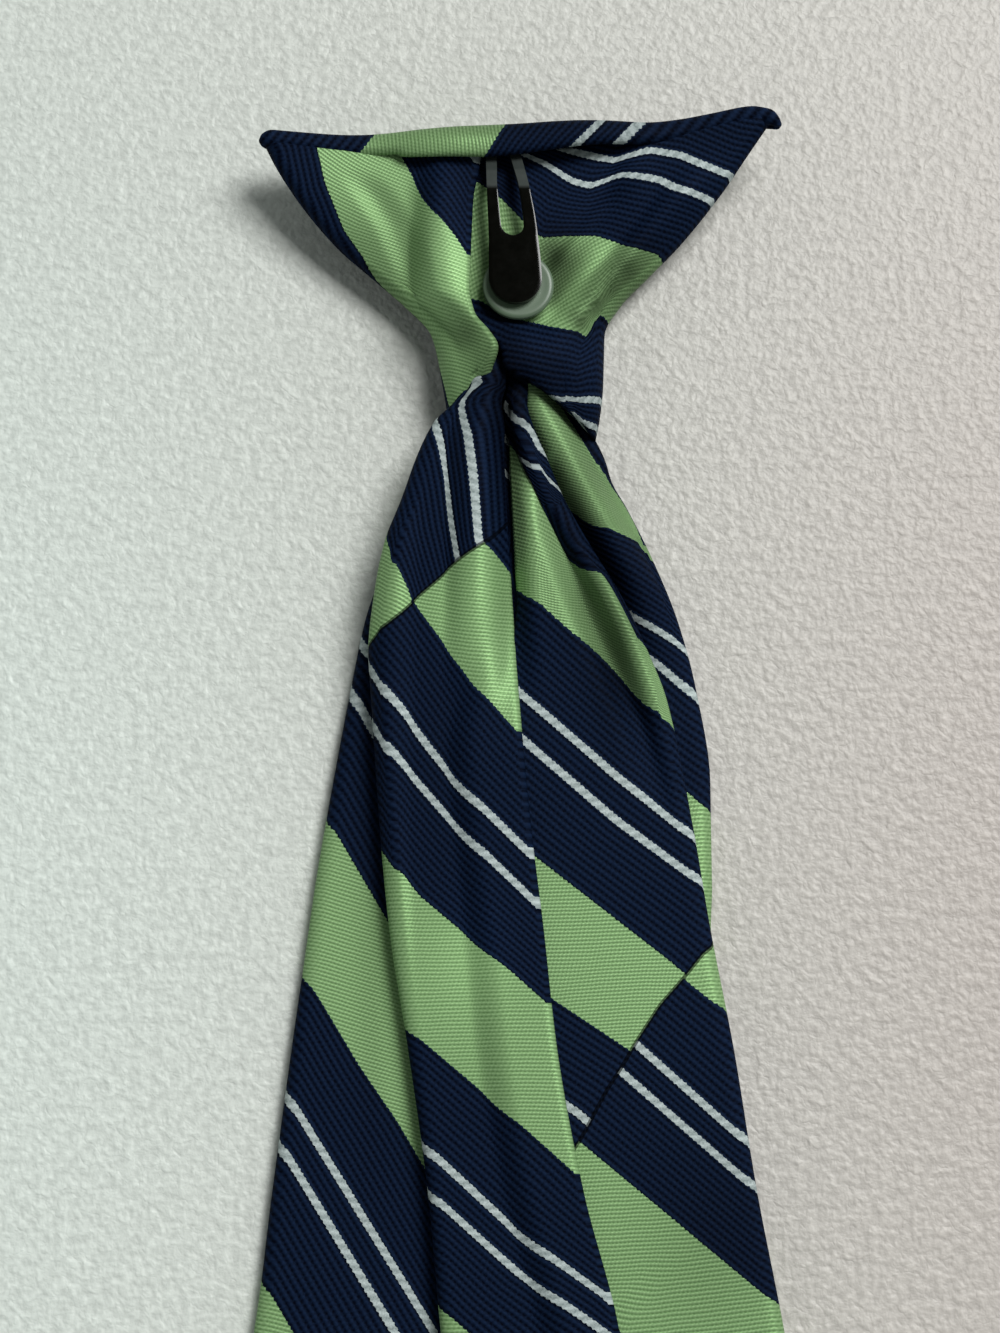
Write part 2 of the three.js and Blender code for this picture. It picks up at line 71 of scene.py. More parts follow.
# %% Camera at the photograph's angle
MM = 0.001
FRAME_WIDTH, FRAME_HEIGHT = 1000, 1333
FOCAL_PIXELS = 2542.4
SENSOR = 36.0
eye = np.array([-1.45, 125.10, 293.44])
aim = np.array([-1.45, 187.47, 0.0])
forward = (aim - eye) / np.linalg.norm(aim - eye)
rightward = np.array([1.0, 0.0, 0.0])
upward = np.cross(rightward, forward)

camera = bpy.data.objects.new("photo_camera", bpy.data.cameras.new("photo_camera"))
camera.data.sensor_width = SENSOR
camera.data.lens = FOCAL_PIXELS * SENSOR / FRAME_HEIGHT
camera.data.clip_start = 0.01
camera.location = Vector(eye) * MM
camera.rotation_mode = "QUATERNION"
camera.rotation_quaternion = Vector(forward).to_track_quat("-Z", "Y")
bpy.context.scene.collection.objects.link(camera)
bpy.context.scene.camera = camera
print(f"lens {camera.data.lens:.2f} mm, {np.linalg.norm(aim - eye):.0f} mm from the aim")

# %% [markdown]
# ## The sizes of the tie
# These repeat the driving sizes of the source, in millimetres. A "drop" is a distance down the tie
# from its neck line, where the folds of the knot meet. The origin is in the middle of the whole tie.

# %% Sizes in millimetres
NECK_Y = 222.755
TIE_LENGTH = 508.0
CLOTH_WALL = 1.2
CLEARANCE = 0.3
KNOT_WIDTH = 62.7
KNOT_SKEW = 1.0
KNOT_HEIGHT = 31.2
HEM_REACH = 2.7
FOLD_RUN = 111.0
BLADE_WIDTH = 86.0
BLADE_POINT = 43.0
BLADE_HOLLOW = 1.3
BLADE_LIFT = 1.6
BLADE_EDGE = 0.7  # height inside the folded edge, as a share of the hollow
TAIL_WIDTH = 38.0
TAIL_LENGTH = 320.0
TAIL_POINT = 19.0
TAIL_HOLLOW = 1.9
TAIL_LAP = 5.0
TAIL_EDGE = 0.8
BLADE_LENGTH = TIE_LENGTH - KNOT_HEIGHT
print(f"blade {BLADE_LENGTH:.1f} mm below the neck, knot {KNOT_HEIGHT:.1f} mm above it")

# %% [markdown]
# ## Curves through a few measured rows
# A folded tie changes width slowly, so a table of a dozen rows is enough. Between them the values
# follow a smooth curve that never overshoots: straight joins would show as creases in glossy cloth.

# %% Smooth curves
def smooth(low, high, value):
    """0 below low, 1 above high, with soft shoulders."""
    share = np.clip((value - low) / (high - low), 0, 1)
    return share * share * (3 - 2 * share)


def along_rows(table, places):
    """Every column of a table at each place, on a smooth curve through its rows."""
    table = np.asarray(table, float)
    at, values = table[:, 0], table[:, 1:]
    slopes = np.diff(values, axis=0) / np.diff(at)[:, None]
    before, after = slopes[:-1], slopes[1:]
    total = np.where(before * after > 0, before + after, 1)
    inner = np.where(before * after > 0, 2 * before * after / total, 0)
    tangents = np.vstack([slopes[:1], inner, slopes[-1:]])
    places = np.clip(places, at[0], at[-1])
    row = np.clip(np.searchsorted(at, places, side="right") - 1, 0, len(at) - 2)
    span = (at[row + 1] - at[row])[:, None]
    t = (places - at[row])[:, None] / span
    return (
        values[row] * (1 + 2 * t) * (1 - t) ** 2
        + values[row + 1] * t * t * (3 - 2 * t)
        + span * (tangents[row] * t * (1 - t) ** 2 - tangents[row + 1] * t * t * (1 - t))
    )


# %% [markdown]
# ## Cloth folded to a flat tube
# A tie is one bias-cut strip whose two edges are folded to the middle of the back. Seen end on, it is
# a right flap, a tight turn, the front, another turn and a left flap. Each cross-section is drawn as
# that line, given the thickness of cloth with its interlining, and the sections are joined.
# A simulated cloth would have to be pressed and sewn to get the same creases, so the line is drawn.

# %% The folded section
FOLD_FULL_FROM, FOLD_FULL_TO = 0.2, 0.65  # shares of its run between which a rolled fold is full
LAP_CLIMB = 3.4  # walls of width over which one flap climbs onto the other


def fold_lift(folds, x, drop):
    """How far rolled folds lift the cloth: each has a height, a half width and its spots."""
    lift = np.zeros_like(x)
    for height, reach, *spots in folds:
        xs, drops = zip(*spots)
        t = (drop - drops[0]) / (drops[-1] - drops[0])
        fade = smooth(0, FOLD_FULL_FROM, t) * (1 - smooth(FOLD_FULL_TO, 1, t))
        away = (x - np.interp(drop, drops, xs)) / reach
        lift += height * np.clip(1 - away**2, 0, 1) ** 2 * fade
    return lift


def folded_line(row, folds, counts):
    """The middle of the cloth round one section, and how many points each of its parts has."""
    wall = CLOTH_WALL
    turn = (wall + row["edge"]) / 2
    left_turn = row["left"] + wall / 2 + turn
    right_turn = row["right"] - wall / 2 - turn
    middle, half = (left_turn + right_turn) / 2, (right_turn - left_turn) / 2
    share = lambda x: np.clip((x - middle) / half, -1, 1)
    front = lambda x: row["base"] + wall / 2 + row["rise"] * share(x) ** 2
    room = lambda x: row["edge"] + (row["hollow"] - row["edge"]) * (1 - share(x) ** 2)
    back = lambda x: front(x) + wall + room(x)
    right_end = min(max(row["right_end"], left_turn + 2 * wall), right_turn - wall)
    left_end = min(max(row["left_end"], left_turn + wall), right_turn - wall)
    lap_from, lap_to = right_end - LAP_CLIMB * wall, right_end - wall / 2
    drop = row["drop"]

    flap = np.linspace(right_end + wall / 2, right_turn, counts["flap"])
    right_flap = np.stack([flap, back(flap) + fold_lift(folds["right"], flap, drop)], 1)
    flap = np.linspace(left_turn, left_end - wall / 2, counts["flap"])
    lap = (wall + row["lap_space"]) * row["lap"] * smooth(lap_from, lap_to, flap)
    left_flap = np.stack([flap, back(flap) + lap + fold_lift(folds["left"], flap, drop)], 1)
    angle = np.linspace(0, math.pi, counts["turn"] + 2)[1:-1]

    def round_turn(x, side):
        height = (front(x) + back(x)) / 2
        return np.stack([x + side * turn * np.sin(angle), height + side * turn * np.cos(angle)], 1)

    across = np.linspace(right_turn, left_turn, counts["front"])
    front_wall = np.stack([across, front(across)], 1)
    parts = [right_flap, round_turn(right_turn, 1), front_wall, round_turn(left_turn, -1), left_flap]
    return np.vstack(parts), [len(part) for part in parts]


def wall_outline(line, wall, cap=3):
    """A wall of even thickness along a line, with rounded ends, and which point each comes from."""
    before = np.vstack([line[:1], line[:-1]])
    after = np.vstack([line[1:], line[-1:]])
    step = (after - before) / np.linalg.norm(after - before, axis=1)[:, None]
    aside = np.stack([-step[:, 1], step[:, 0]], 1)
    angle = np.linspace(0, math.pi, cap + 2)[1:-1, None]
    finish = line[-1] + wall / 2 * (step[-1] * np.sin(angle) - aside[-1] * np.cos(angle))
    start = line[0] + wall / 2 * (aside[0] * np.cos(angle) - step[0] * np.sin(angle))
    outline = np.vstack([line - aside * wall / 2, finish, (line + aside * wall / 2)[::-1], start])
    last = len(line) - 1
    owner = [*range(last + 1), *[last] * cap, *range(last, -1, -1), *[0] * cap]
    return outline, np.array(owner)


# %% [markdown]
# ## The rows of the three folded pieces
# The blade's edges are shares of its half width and the tail's are shares of its full width, so both
# tables read as proportions. Places run from 0 to 1 down the gathered stretch below the knot, from 1
# to 2 on to the shoulders of the point, and from 2 to 3 down the point. The knot's rows are in
# millimetres.

# %% Rows of the blade
# Columns: at, left, right, lift, hollow
BLADE_ROWS = [
    (-0.02, -0.085, 0.12, 1.0, 0.3), (0.035, -0.09, 0.15, 1.0, 0.35), (0.07, -0.19, 0.222, 0.92, 0.5),
    (0.085, -0.21, 0.243, 0.88, 0.6), (0.1, -0.23, 0.259, 0.83, 0.7), (0.122, -0.255, 0.275, 0.74, 0.85),
    (0.15, -0.29, 0.315, 0.62, 1.0), (0.21, -0.35, 0.39, 0.36, 1.0),
    (0.275, -0.405, 0.455, 0.12, 0.9), (0.345, -0.44, 0.5, 0.0, 0.8), (0.445, -0.485, 0.535, 0.0, 0.65),
    (0.555, -0.53, 0.535, 0.0, 0.55), (0.6, -0.545, 0.53, 0.0, 0.5), (0.72, -0.585, 0.575, 0.0, 0.45),
    (0.865, -0.63, 0.62, 0.0, 0.4), (1.0, -0.67, 0.665, 0.0, 0.4), (1.12, -0.75, 0.75, 0.0, 0.4),
    (1.275, -0.825, 0.825, 0.0, 0.4), (1.46, -0.89, 0.89, 0.0, 0.4), (1.68, -0.955, 0.955, 0.0, 0.4),
    (2.0, -1.0, 1.0, 0.0, 0.4),
]
BLUNT = 2.985  # a point is drawn nearly, but not quite, to nothing


def place_drop(at, length, point):
    """How far down the tie a place is."""
    if at > 2:
        return length - point * (3 - at)
    return at * FOLD_RUN if at <= 1 else FOLD_RUN + (at - 1) * (length - point - FOLD_RUN)


def blade_row(at):
    """What one section of the blade needs."""
    left, right, lift, hollow = along_rows(BLADE_ROWS, np.array([at]))[0]
    pointed = 3 - at if at > 2 else 1
    left, right = (edge * BLADE_WIDTH * pointed / 2 for edge in (left, right))
    hollow *= BLADE_HOLLOW
    return {
        "drop": place_drop(at, BLADE_LENGTH, BLADE_POINT), "left": left, "right": right,
        "left_end": (left + right) / 2 - CLEARANCE, "right_end": (left + right) / 2 + CLEARANCE,
        "base": lift * BLADE_LIFT, "rise": 0, "hollow": hollow, "edge": hollow * BLADE_EDGE,
        "lap": 0, "lap_space": 0, "bow": 0, "slant": 0,
    }


def blade_top(drop):
    """Height on which the tail lies."""
    past = (drop - FOLD_RUN) / (BLADE_LENGTH - BLADE_POINT - FOLD_RUN)
    row = blade_row(drop / FOLD_RUN if drop <= FOLD_RUN else 1 + past)
    return row["base"] + 2 * CLOTH_WALL + row["hollow"]


print("blade is", round(blade_top(FOLD_RUN), 2), "mm thick where its gathers end")

# %% Rows of the tail
# Columns: at, left, seam, right, hollow
TAIL_ROWS = [
    (0, -0.145, 0.0, 0.06, 0.7), (0.03, -0.158, -0.005, 0.06, 0.8), (0.05, -0.195, -0.012, 0.05, 0.95),
    (0.065, -0.24, -0.02, 0.06, 1.1), (0.1, -0.29, -0.024, 0.1, 1.2), (0.15, -0.34, -0.018, 0.158, 1.2),
    (0.2, -0.395, -0.01, 0.238, 1.1), (0.255, -0.425, 0.0, 0.335, 0.9), (0.31, -0.44, 0.01, 0.41, 0.7),
    (0.365, -0.43, 0.02, 0.47, 0.6), (0.5, -0.4, 0.055, 0.545, 0.45), (0.6, -0.37, 0.09, 0.59, 0.4),
    (0.725, -0.31, 0.13, 0.655, 0.35), (0.865, -0.25, 0.205, 0.715, 0.3), (1.0, -0.21, 0.305, 0.785, 0.3),
    (1.15, -0.15, 0.36, 0.85, 0.25), (1.37, -0.11, 0.395, 0.9, 0.25), (1.68, -0.1, 0.41, 0.93, 0.25),
    (2.0, -0.12, 0.4, 0.93, 0.25),
]
LAP_FROM, LAP_FULL = 28, 48  # drops between which the two flaps close over the centre valley
LAP_GAP = 0.5  # and how far apart they stand above it
LEAST_LEFT_FLAP = 0.4  # share of the left side that the right flap leaves free


def tail_row(at):
    """What one section of the tail needs."""
    left, seam, right, hollow = along_rows(TAIL_ROWS, np.array([at]))[0]
    pointed = 3 - at if at > 2 else 1
    seam *= TAIL_WIDTH
    left = seam + (left * TAIL_WIDTH - seam) * pointed
    right = seam + (right * TAIL_WIDTH - seam) * pointed
    drop = place_drop(at, TAIL_LENGTH, TAIL_POINT)
    hollow *= TAIL_HOLLOW
    lap = smooth(LAP_FROM, LAP_FULL, drop)
    overlap = (TAIL_LAP + LAP_GAP) * lap - LAP_GAP
    return {
        "drop": drop, "left": left, "right": right,
        "left_end": seam, "right_end": max(seam - overlap, left + (seam - left) * LEAST_LEFT_FLAP),
        "base": blade_top(drop) + CLEARANCE, "rise": 0, "hollow": hollow, "edge": hollow * TAIL_EDGE,
        "lap": lap, "lap_space": CLEARANCE, "bow": 0, "slant": 0,
    }


print("tail lies at", round(tail_row(1)["base"], 2), "mm where the gathers end")

# %% Rows of the knot
# Columns, in millimetres: drop, left edge, right edge, left end, right end, rise, hollow, edge,
# lap space, bow and slant
KNOT_ROWS = [
    (-26.6, -30.0, 31.4, -3.6, -7.2, 6.6, 4.4, 0.35, 0.3, -2.4, -1.4),
    (-24.0, -28.6, 28.8, -3.9, -7.4, 5.7, 4.65, 0.4, 0.3, -1.8, -0.9),
    (-20.0, -25.7, 25.2, -4.6, -7.6, 4.4, 4.9, 0.4, 0.6, -1.1, -0.5),
    (-15.2, -21.2, 20.6, -4.8, -8.2, 2.8, 5.2, 0.5, 1.05, -0.6, -0.3),
    (-11.6, -16.9, 16.6, -4.9, -8.3, 1.8, 5.36, 1.3, 1.5, -0.3, -0.1),
    (-8.3, -12.9, 13.1, -5.0, -7.6, 0.96, 5.4, 2.5, 1.68, 0.0, 0.0),
    (-5.0, -9.9, 11.1, -4.4, -6.3, 0.4, 5.8, 4.0, 2.1, 0.3, 0.2),
    (-2.5, -9.0, 10.95, -2.6, -5.0, 0.1, 7.4, 6.0, 1.4, 1.0, 0.4),
    (-0.6, -8.5, 10.8, -1.6, -3.2, 0.0, 8.4, 7.0, 0.7, 2.4, 0.8),
    (1.2, -8.0, 10.4, -2.4, -1.0, 0.0, 8.2, 6.4, 0.4, 3.8, 1.2),
    (2.6, -7.6, 9.9, -4.2, 0.6, 0.0, 7.4, 5.4, 0.3, 4.9, 1.3),
]
KNOT_TOP, KNOT_FOOT = KNOT_ROWS[0][0], KNOT_ROWS[-1][0]
KNOT_COLUMNS = (
    "left", "right", "left_end", "right_end", "rise", "hollow", "edge", "lap_space", "bow", "slant"
)


def knot_row(drop):
    """What one section of the knot wrap needs."""
    row = dict(zip(KNOT_COLUMNS, along_rows(KNOT_ROWS, np.array([drop]))[0]))
    return {**row, "drop": drop, "base": 0, "lap": 1}


print("knot wrap spans", KNOT_ROWS[0][1], "to", KNOT_ROWS[0][2], "mm at its top")

# %% [markdown]
# ## Rolled folds
# Where the tie is gathered into the knot, its flaps roll up into soft ridges with valleys between
# them. Sculpting them by hand would be hard to repeat, so each ridge or valley is a smooth bump that
# follows a line down the flap: its height (below nothing for a valley), its half width and the spots,
# as x and drop, that it runs through, all in millimetres.

# %% Ridges and valleys
CENTRE_VALLEY = (
    -2.5, 3.0, (0.3, -3), (0.0, 2), (-0.9, 9), (-0.8, 13), (-0.5, 20), (0.0, 32), (0.6, 44),
)
blade_folds = {
    "left": [],
    "right": [
        (3.4, 3.4, (0.5, -6), (2.7, 5), (4.5, 8.1), (6.7, 12.3), (9.0, 16.6), (11.4, 20.8),
         (14.6, 27), (18, 38)),
    ],
}
tail_folds = {
    "left": [
        (2.1, 3.6, (-1.2, -4), (-2.6, 5.6), (-4.0, 10), (-4.3, 17), (-4.2, 26), (-4.4, 44)),
        (0.7, 2.6, (-12.5, 11), (-13.5, 25), (-14.4, 55), (-13, 80)),
        CENTRE_VALLEY,
    ],
    "right": [
        CENTRE_VALLEY,
        (1.6, 2.3, (0.3, -6), (0.8, 6), (2.4, 11), (5.2, 18), (8.8, 24), (11.8, 29), (14.4, 34),
         (17.0, 42), (19, 52)),
        (-1.6, 3.2, (3.0, 12), (5.8, 22), (8.6, 30), (12.4, 38), (15, 44), (18, 56)),
        (0.9, 3.0, (8, 18), (12, 28), (15.5, 36), (19, 44), (22, 60)),
    ],
}
knot_folds = {
    "left": [
        (1.0, 3.6, (-9, -26), (-9, -18), (-8, -8), (-5.5, 0), (-5, 6)),
        (-0.6, 3.0, (-19, -24), (-14, -17), (-10.5, -9), (-8, -5)),
    ],
    "right": [
        (1.5, 3.4, (24, -24), (18, -17), (11.5, -10), (6.6, -4), (5, 2)),
        (-1.5, 3.6, (15, -23), (10, -16), (5.6, -11), (2.5, -5), (2, -2)),
        (0.8, 2.8, (16, -27), (13.5, -20), (8, -13), (5, -9)),
    ],
}
every_side = [side for folds in (blade_folds, tail_folds, knot_folds) for side in folds.values()]
print("folds", sum(len(side) for side in every_side))

# %% [markdown]
# ## Where the stripes run
# The cloth is woven with one repeat: a navy band that holds two thin white lines, then a green band.
# It is cut on the bias and folded, so on the back each flap shows the stripes at its own angle, and
# near the knot the gathers bend them. A straight projected pattern could not follow that.
# Instead, each flap gets a field: how far a point lies across the stripes, read between a few stripe
# edges that are seen in the photograph. Sight lines from the camera carry those edges onto the cloth.

# %% Sight lines
REPEAT = 34.4
BAND_EDGES = {"navy": 0.0, "white_a": 9.05, "white_b": 12.75, "green": 21.8}
WHITE_HALF = 0.43
LEAST_GAP, LEAST_SPAN = 0.05, 0.01  # millimetres that keep neighbouring edges apart
FAR = 100.0  # a distance that stands for "no seam or ridge here"


def onto_level(points, level):
    """Slides points along their sight lines to one height, as x and drop."""
    points = np.asarray(points, float)
    share = (level - eye[2]) / (points[:, 2] - eye[2])
    met = eye + (points - eye) * share[:, None]
    return np.stack([met[:, 0], NECK_Y - met[:, 1]], 1)


def seen_at(spots, level):
    """The place at one height that each spot of the photograph's frame shows."""
    spots = np.asarray(spots, float)
    side = (spots[:, :1] - FRAME_WIDTH / 2) / FOCAL_PIXELS
    up = -(spots[:, 1:] - FRAME_HEIGHT / 2) / FOCAL_PIXELS
    return onto_level(eye + 1000 * (forward + side * rightward + up * upward), level)


def turned(places, angle):
    """Places measured along and across a direction that falls by this angle to the right."""
    cos, sin = math.cos(math.radians(angle)), math.sin(math.radians(angle))
    x, drop = places[:, 0], places[:, 1]
    return x * cos + drop * sin, -x * sin + drop * cos


def crossing(spots, angle, level):
    """A function that gives how far below a seen line each point lies."""
    along, across = turned(seen_at(spots, level), angle)
    order = np.argsort(along)

    def below(points):
        place_along, place_across = turned(onto_level(points, level), angle)
        return place_across - np.interp(place_along, along[order], across[order])

    return below


def stripe_field(angle, level, edges):
    """A function that gives each point's place across and along the stripes."""
    edges = sorted(edges, key=lambda edge: BAND_EDGES[edge[0]] + REPEAT * edge[1])
    places = np.array([BAND_EDGES[name] + REPEAT * number for name, number, *_ in edges])
    belows = [crossing(spots, angle, level) for _, _, *spots in edges]

    def field(points):
        past = np.array([below(points) for below in belows])
        past = np.minimum.accumulate(past - LEAST_GAP * np.arange(len(past))[:, None], axis=0)
        count = (past > 0).sum(0)
        low = np.clip(count - 1, 0, max(len(places) - 2, 0))
        high = np.minimum(low + 1, len(places) - 1)
        pick = np.arange(past.shape[1])
        gap = np.maximum(past[low, pick] - past[high, pick], LEAST_SPAN)
        across = places[low] + past[low, pick] / gap * (places[high] - places[low])
        across = np.where(count == 0, places[0] + past[0], across)
        across = np.where(count == len(places), places[-1] + past[-1], across)
        along, _ = turned(onto_level(points, level), angle)
        return across, along

    return field


print("one repeat of the cloth is", REPEAT, "mm")

# %% [markdown]
# ## The stripe edges of every flap
# Each line below names a stripe edge, the number of its repeat, and the spots where it was seen. The
# first two numbers of a field are the angle of its stripes and the height of its cloth.

# %% Stripe edges of the blade
blade_left = stripe_field(59, 3.0, [
    ("white_a", 0, (362, 640), (369, 653)),
    ("white_b", 0, (350, 685), (370, 725)),
    ("green", 0, (326.5, 815.5), (383.7, 913.5)),
    ("navy", 1, (303, 970.6), (322, 1000), (360, 1064), (399, 1121), (424, 1163.5)),
    ("white_a", 1, (286, 1089), (437, 1333)),
    ("white_b", 1, (279.7, 1138), (398.6, 1333)),
    ("green", 1, (264, 1276), (297, 1333)),
])
blade_right = stripe_field(38, 4.0, [
    ("green", -1, (548, 399), (558.6, 410), (578, 440), (596, 467), (612, 488.6), (630, 517), (644, 544)),
    ("navy", 0, (591, 522.5), (612, 530), (632, 538.6), (644, 546)),
    ("white_a", 0, (637.7, 618.4), (684.8, 649.4)),
    ("white_b", 0, (658.4, 664.3), (697.4, 698.7)),
    ("green", 0, (691.7, 795), (711, 813.5)),
])
print("blade fields ready")

# %% Stripe edges of the tail
tail_left = stripe_field(45, 8.0, [
    ("green", -1, (481, 543), (511, 580)),
    ("navy", 0, (415, 604), (443, 642), (475, 685), (520, 735)),
    ("white_a", 0, (355, 645), (371.6, 669.5), (430.5, 749), (455, 780), (531.6, 855)),
    ("white_b", 0, (355, 700), (371.6, 724), (401, 762), (451.6, 820), (537, 903)),
    ("green", 0, (368, 832), (381, 848), (421.8, 896), (471, 937), (512.5, 970.6), (549, 1003)),
    ("navy", 1, (403, 1022), (476, 1083.7), (520, 1121), (573, 1168.5)),
    ("white_a", 1, (424, 1142), (520, 1231.5), (605, 1292)),
    ("white_b", 1, (431, 1190), (492, 1245), (520, 1270), (613, 1333)),
    ("green", 1, (456, 1316), (500, 1355)),
])
tail_left_upper = stripe_field(79, 8.0, [
    ("white_a", 0, (482, 387), (468, 396), (464, 406), (470, 435), (473, 467), (475, 503), (477, 539)),
    ("white_b", 0, (437.5, 422.5), (443, 449), (450, 485), (455, 521), (461, 556)),
    ("green", 0, (386.6, 538.6), (410, 596)),
])
BAND_AFTER_RIDGE = [
    (548, 517), (558.6, 546), (566, 558), (583.6, 569), (608.6, 578), (616, 585), (628, 605), (641, 628),
]
tail_right_upper = stripe_field(41, 6.5, [
    ("green", -1, (504, 432), (510, 440), (523, 456), (532, 481), *BAND_AFTER_RIDGE),
    ("navy", 0, (512, 583), (536.7, 600), (580, 640), (672, 724)),
    ("white_a", 0, (519.5, 691.8), (614.8, 774.5), (695, 838.8)),
    ("white_b", 0, (521.8, 737.7), (617, 820.4), (702, 882.4)),
    ("green", 0, (534.4, 854.8), (669.9, 960)),
    ("navy", 1, (552.5, 996.7), (631.2, 1049)),
])
ridge_top = stripe_field(41, 6.5, [
    ("white_a", -1, (508, 406), (521, 422.5), (542.5, 446), (562, 453)),
    ("white_b", -1, (512, 450), (528, 463), (560, 487), (585, 496)),
    ("green", -1, (500, 462), (514, 482), (526, 500), *BAND_AFTER_RIDGE),
    ("navy", 0, (512, 583), (536.7, 600), (580, 640), (672, 724)),
])
tail_right = stripe_field(41, 6.5, [
    ("navy", 0, (688, 983), (722, 1010)),
    ("white_a", 0, (638, 1046), (743, 1140)),
    ("white_b", 0, (621.5, 1071), (754, 1187)),
    ("green", 0, (582.8, 1143), (759.6, 1289.4), (785, 1310)),
    ("navy", 1, (612, 1310), (622, 1333)),
])
print("tail fields ready")

# %% Stripe edges of the knot and its hem
knot_left = stripe_field(62, 9.0, [
    ("white_b", 0, (470, 155), (481, 168)),
    ("green", 0, (399, 155), (426, 199), (455, 239), (470, 261)),
    ("navy", 1, (315, 137), (326, 184), (346, 232), (375, 272)),
])
knot_right = stripe_field(12, 9.0, [
    ("white_a", 0, (550, 148), (579, 155), (615, 163), (648, 152), (681, 157), (728, 177)),
    ("white_b", 0, (524, 155), (546, 165), (572, 183), (590, 188), (623, 175), (659, 181), (710, 203)),
    ("green", 0, (479, 183), (500, 198), (523, 222), (541, 239), (568, 237), (597, 237), (623, 246),
     (659, 257)),
    ("navy", 1, (481, 301), (513, 319), (557, 328), (588, 334), (605, 309)),
    ("white_a", 1, (546, 397), (572, 399), (597, 395), (640, 388)),
    ("white_b", 1, (572, 411), (582, 419), (597, 421), (640, 420)),
])
hem_field = stripe_field(-52, 12.0, [
    ("white_b", -1, (238, 150), (250, 140)),
    ("green", -1, (366, 145), (376, 132)),
    ("navy", 0, (486, 153), (500, 130)),
    ("white_a", 0, (572, 147), (600, 120)),
    ("white_b", 0, (615, 143), (640, 118)),
    ("green", 0, (800, 120), (812, 108)),
])
print("knot fields ready")

# %% [markdown]
# ## Where one cloth is joined to another
# Ties are cut from several strips, joined on the bias. Past such a seam, and on top of the navy ridge
# that rolls up beside the centre valley, the stripes start afresh, so another field takes over there.

# %% Joining seams and the navy ridge
left_joining = crossing([(509, 519), (481, 544), (415, 600), (373, 640)], -41.6, 8.0)
right_joining = crossing(
    [(711, 943), (693, 966), (682, 980), (660, 1005), (635, 1043.6), (624, 1063), (605, 1093),
     (583, 1135)],
    -56.3, 6.5,
)
ridge_side = crossing([(503, 425), (516, 437), (523, 456), (532, 481), (548, 517)], 41, 6.5)
ridge_foot = crossing([(530, 530), (560, 505)], -40, 6.5)
SEAM_MARGIN = 8  # the joined cloth's field is read from this far above its seam


def above_left_joining(points):
    """How far above the left flap's joining seam each point lies."""
    return -left_joining(points)


# Where this number is near nothing the cloth draws a dark line: a dark joint at the seam, and painted
# crease shade along the ridge's side.
def beside_ridge(points):
    """Negative on the navy ridge's top and below the joining seam, where other fields take over."""
    beside = np.where(ridge_foot(points) > 0, FAR, ridge_side(points))
    return np.minimum(-right_joining(points), beside)


def ridge_or_joined(points):
    """The field that takes over there."""
    is_joined = right_joining(points) > -SEAM_MARGIN
    pairs = zip(ridge_top(points), tail_right(points))
    return tuple(np.where(is_joined, joined, ridge) for ridge, joined in pairs)


def with_seam(field, above=None):
    """A field that also says how far above the joining seam each point lies."""
    def numbers(points):
        across, along = field(points)
        seam = np.full(len(points), FAR) if above is None else above(points)
        return np.stack([across, along, seam], 1)

    return numbers


print("two seams and one ridge change the field")

# %% [markdown]
# ## Building a folded piece
# Each ring of the mesh carries three weave numbers per point: the place across the stripes, the place
# along them, and how far the point is from the joining seam. The material reads them and draws the
# stripes and the weave, so the pattern follows every fold as woven cloth does.

# %% Points and faces to a piece
def new_piece(name, points, faces, fields):
    """A mesh object from points in millimetres, with a named triple of numbers at each point."""
    mesh = bpy.data.meshes.new(name)
    mesh.from_pydata([tuple(point) for point in np.asarray(points) * MM], [], faces)
    for field, values in fields.items():
        layer = mesh.attributes.new(field, "FLOAT_VECTOR", "POINT")
        layer.data.foreach_set("vector", np.asarray(values, np.float32).ravel())
    made = bmesh.new()
    made.from_mesh(mesh)
    bmesh.ops.recalc_face_normals(made, faces=made.faces)
    made.to_mesh(mesh)
    made.free()
    mesh.polygons.foreach_set("use_smooth", [True] * len(mesh.polygons))
    piece = bpy.data.objects.new(name, mesh)
    bpy.context.scene.collection.objects.link(piece)
    return piece


def ring_faces(rings, count):
    """Quads between rings of equally many points, and a face over each end."""
    faces = []
    for ring in range(rings - 1):
        for i in range(count):
            a, b = ring * count + i, ring * count + (i + 1) % count
            faces.append((a, b, b + count, a + count))
    return [*faces, tuple(range(count)), tuple(range((rings - 1) * count, rings * count))[::-1]]


print("a tube of 3 rings with 4 points each has", len(ring_faces(3, 4)), "faces")
